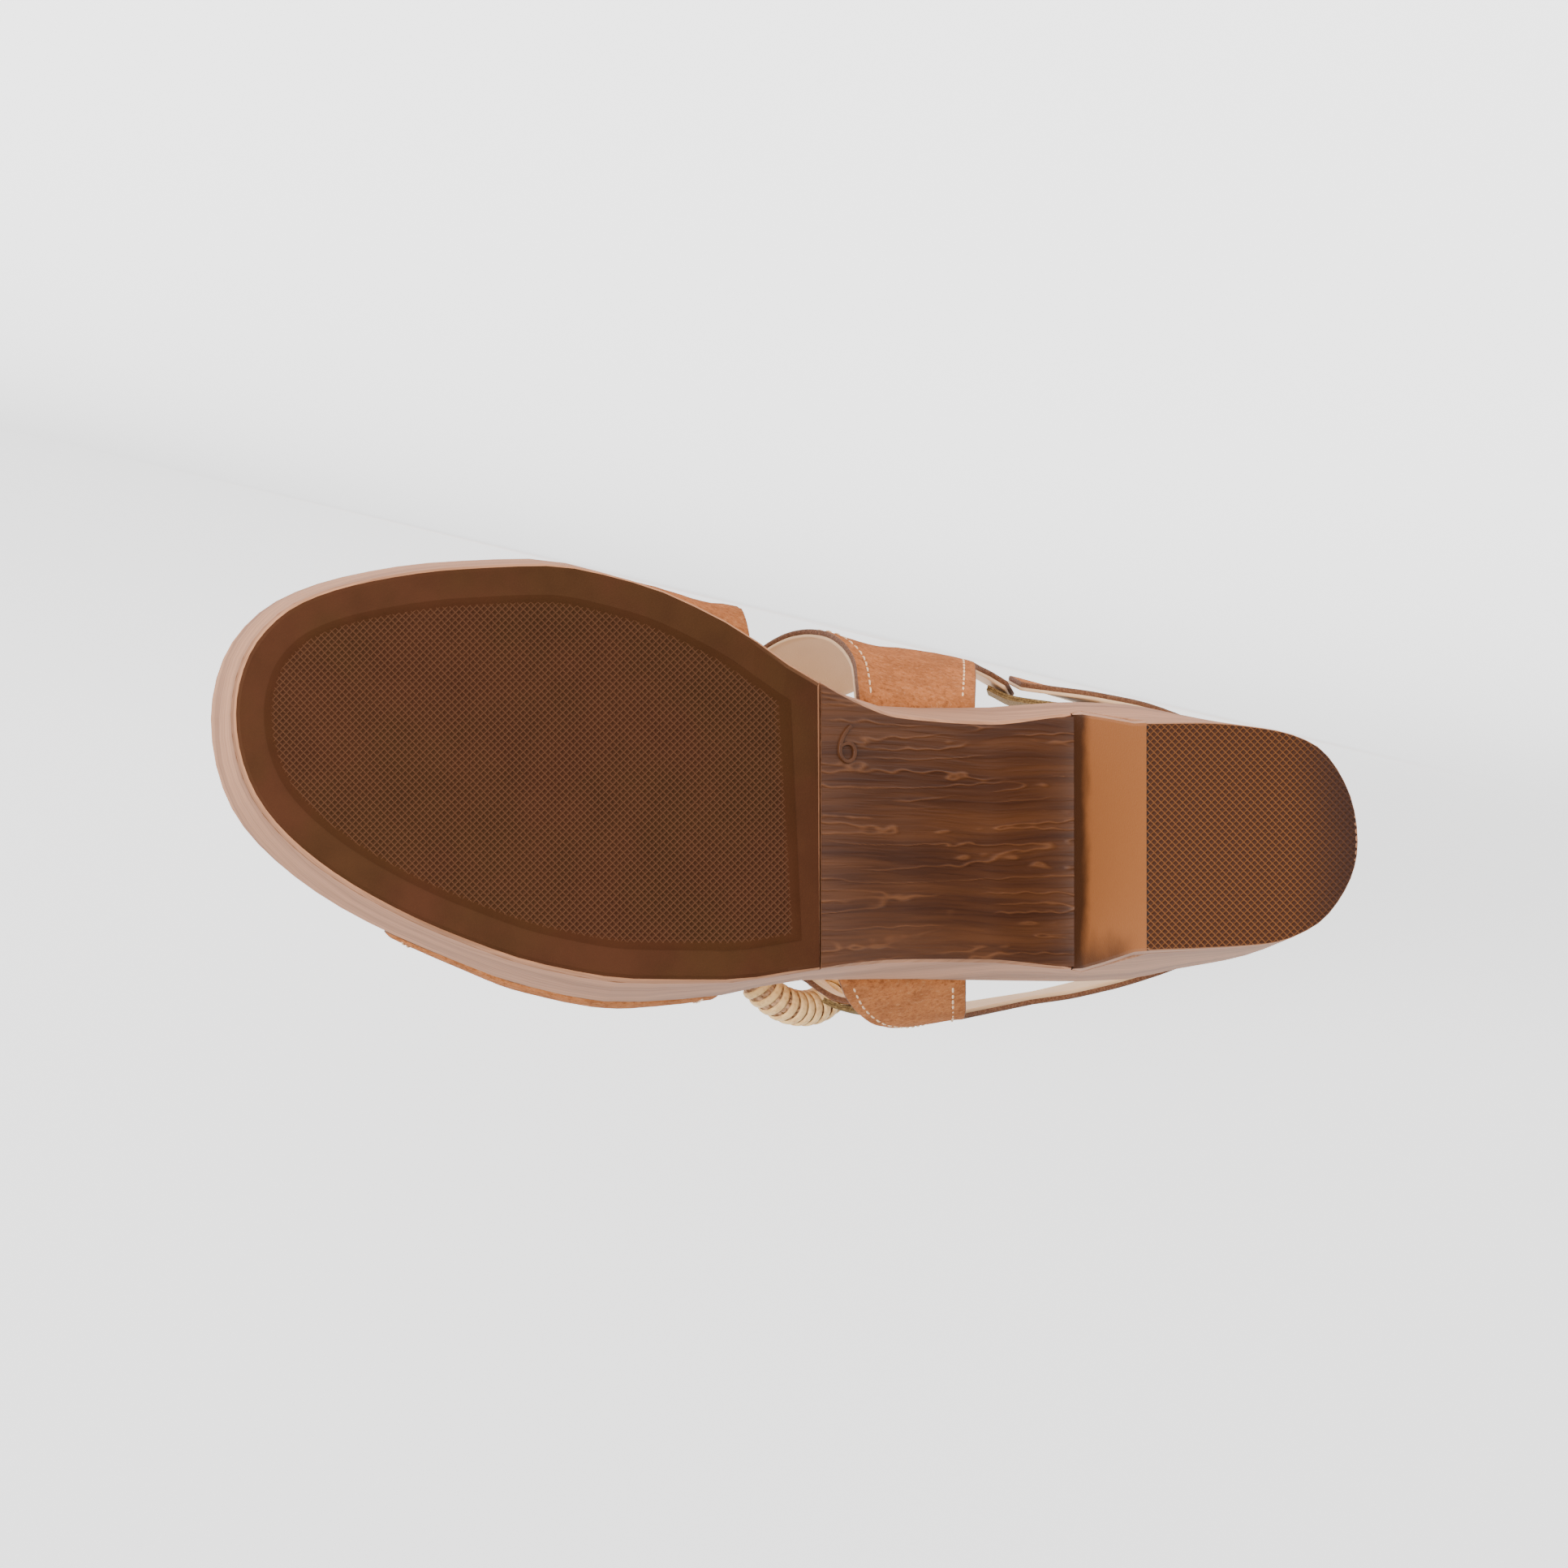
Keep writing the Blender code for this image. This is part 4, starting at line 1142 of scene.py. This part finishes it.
# Elastic: short olive webbing with fine ribs, sewn inside the two ends of the sling on the inner side.
ELASTIC_WIDTH = 0.010
ELASTIC_THICKNESS = 0.0012
RIB_PITCH = 0.0010
OLIVE = (0.30, 0.20, 0.085, 1)
OLIVE_DEEP = (0.13, 0.08, 0.032, 1)
ELASTIC = Table(
    "row station side height lean",
    [
        (0, 0.302, 0.356, 0.76, 8),
        (1, 0.277, 0.328, 0.76, 10),
        (2, 0.240, 0.318, 0.77, 2),
        (3, 0.195, 0.300, 0.80, 8),
    ],
)
webbing = Finish("olive_elastic", 0.8, Specular_IOR_Level=0.2)
weave = webbing.cloud(webbing.place(), 2500.0, 3.0, 0.7)
webbing.link(
    Base_Color=webbing.mix(weave.between(0.35, 0.65), OLIVE, OLIVE_DEEP),
    Normal=webbing.bump(weave, 0.0002, 0.8),
)
elastic = Leather()
elastic_end = len(ELASTIC.rows) - 1
ribs = int(ELASTIC_WIDTH / RIB_PITCH)
elastic.join([elastic.row(sling_row(ELASTIC, place, ELASTIC_WIDTH, ribs * 4 + 1))
              for place in np.linspace(0, elastic_end, elastic_end * 12 + 1)])
elastic_band = elastic.solid("elastic_webbing", ELASTIC_THICKNESS, wearer(0.30), (webbing, webbing, webbing))
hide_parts("elastic_gore")


# Ring: a hard core covered with long straws, wound closely with flat straw strips. The instep strap
# passes through it.
RING_RADIUS = 0.0141
RING_TUBE = 0.0041
RING_TILT = math.radians(43)
RING_ROW = 9.5
RING_SINK = 0.001
WRAPS = 38
WRAP_WIDTH = 0.0017
WRAP_THICKNESS = 0.00055
STRAW = (0.90, 0.60, 0.26, 1)
STRAW_DEEP = (0.60, 0.31, 0.11, 1)
STRAW_PINK = (0.62, 0.38, 0.22, 1)
STRAW_SHADE = (0.20, 0.09, 0.035, 1)

above = strap_place(INSTEP_STRAP, RING_ROW - 0.5, 0.5, -RING_SINK)[0]
below = strap_place(INSTEP_STRAP, RING_ROW + 0.5, 0.5, -RING_SINK)[0]
rear_side = strap_place(INSTEP_STRAP, RING_ROW, 0, -RING_SINK)[0]
ring_centre = strap_place(INSTEP_STRAP, RING_ROW, 0.5, -RING_SINK)[0]
front_side = strap_place(INSTEP_STRAP, RING_ROW, 1, -RING_SINK)[0]
strap_run = (below - above).normalized()
outwards = strap_run.cross((front_side - rear_side).normalized()).normalized()
outwards = -outwards if outwards.y > 0 else outwards
ring_across = outwards.cross(strap_run).normalized()
ring_tilted = strap_run * math.cos(RING_TILT) + outwards * math.sin(RING_TILT)
ring_axis = ring_across.cross(ring_tilted)


def ring_place(turn, spin, reach):
    """Point on the ring, by the turn round it, the spin round its tube and the distance from the tube's middle."""
    radial = ring_across * math.cos(turn) + ring_tilted * math.sin(turn)
    return ring_centre + radial * (RING_RADIUS + reach * math.cos(spin)) + ring_axis * reach * math.sin(spin)


def piece(name, mesh, finish):
    """Object from a mesh in the shoe's directions."""
    mesh.transform(shoe)
    data = bpy.data.meshes.new(name)
    mesh.to_mesh(data)
    mesh.free()
    data.shade_smooth()
    data.materials.append(finish.material)
    item = bpy.data.objects.new(name, data)
    bpy.context.collection.objects.link(item)
    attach(item, "root")
    return item


straws = Finish("long_straws", 0.65, Specular_IOR_Level=0.3)
dry = straws.cloud(straws.place(), 900.0, 3.0).between(0.3, 0.7)
straws.link(Base_Color=straws.mix(dry, STRAW_PINK, STRAW_SHADE))
core = bmesh.new()
around, tube, strands = 120, 60, 15
loops = []
for step in range(around):
    turn = 2 * math.pi * step / around
    loop = []
    for place in range(tube):
        spin = 2 * math.pi * place / tube
        groove = abs(math.sin(spin * strands / 2)) ** 0.5
        loop.append(core.verts.new(ring_place(turn, spin, RING_TUBE - WRAP_THICKNESS - 0.0006 + 0.0005 * groove)))
    loops.append(loop)
for loop, following in zip(loops, loops[1:] + loops[:1]):
    for place in range(tube):
        beside = (place + 1) % tube
        core.faces.new((loop[place], following[place], following[beside], loop[beside]))
ring_core = piece("ring_straws", core, straws)

strip = Finish("straw_strips", 0.55, Specular_IOR_Level=0.35)
fibre = strip.cloud(strip.place(), 700.0, 4.0, 0.7)
strip.link(
    Base_Color=strip.mix(fibre.between(0.42, 0.72) * 0.8, STRAW, STRAW_DEEP),
    Normal=strip.bump(fibre, 0.0002, 0.6),
)
winding = bmesh.new()
profile = ((-0.5, 0.0), (-0.46, 0.75), (-0.2, 1.0), (0.2, 1.0), (0.46, 0.75), (0.5, 0.0))
for wrap in range(WRAPS):
    wander = noise.noise(Vector((wrap * 3.7, 0.5, 0.2)))
    middle = 2 * math.pi * (wrap + 0.25 * wander) / WRAPS
    slant = 0.06 + 0.05 * noise.noise(Vector((wrap * 1.9, 4.1, 0.7)))
    width = WRAP_WIDTH * (1 + 0.18 * noise.noise(Vector((wrap * 2.3, 7.7, 1.1))))
    rings = []
    for place in range(28):
        spin = 2 * math.pi * place / 28
        reach = RING_TUBE - WRAP_THICKNESS
        at_radius = RING_RADIUS + reach * math.cos(spin)
        ring_row = []
        for share, rise in profile:
            turn = middle + slant * math.sin(spin) + share * min(width, 0.00165 * at_radius / 0.0115) / at_radius
            ring_row.append(winding.verts.new(ring_place(turn, spin, reach + rise * WRAP_THICKNESS)))
        rings.append(ring_row)
    for low, high in zip(rings, rings[1:] + rings[:1]):
        for index in range(len(profile) - 1):
            winding.faces.new((low[index], high[index], high[index + 1], low[index + 1]))
ring_wraps = piece("ring_winding", winding, strip)
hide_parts("raffia_ring")


# Hook-and-loop pad: olive loop fabric on the outside of the strap's tail, between ring and outer quarter.
PAD_FUR = 0.0007
FIBRES = 2600
pad_finish = Finish("olive_loops", 0.95, Specular_IOR_Level=0.1)
pile = pad_finish.cloud(pad_finish.place(), 1600.0, 4.0, 0.8)
pad_finish.link(
    Base_Color=pad_finish.mix(pile.between(0.35, 0.65), OLIVE, OLIVE_DEEP),
    Normal=pad_finish.bump(pile, 0.0005, 1.0),
)


def row_beyond(row, distance):
    """Row of the instep strap whose middle is at a distance past another row's middle."""
    start = strap_place(INSTEP_STRAP, row, 0.5)[0]
    while (strap_place(INSTEP_STRAP, row, 0.5)[0] - start).length < distance:
        row += 0.02
    return row


pad = Leather()
pad_first = row_beyond(RING_ROW, RING_RADIUS + RING_TUBE)
pad_last = len(INSTEP_STRAP.rows) - 1 - 0.1
pad_rows = []
for row in np.linspace(pad_first, pad_last, 30):
    places = [strap_place(INSTEP_STRAP, row, share, LEATHER + GAP) for share in np.linspace(0.125, 0.875, 25)]
    pad_rows.append(pad.row(supple(point, outward, 0.0003) for point, outward in places))
pad.join(pad_rows)
pad_skin = pad.solid("loop_pad", PAD_THICKNESS, wearer(0.42), (pad_finish, pad_finish, pad_finish))
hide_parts("hook_and_loop_pad")
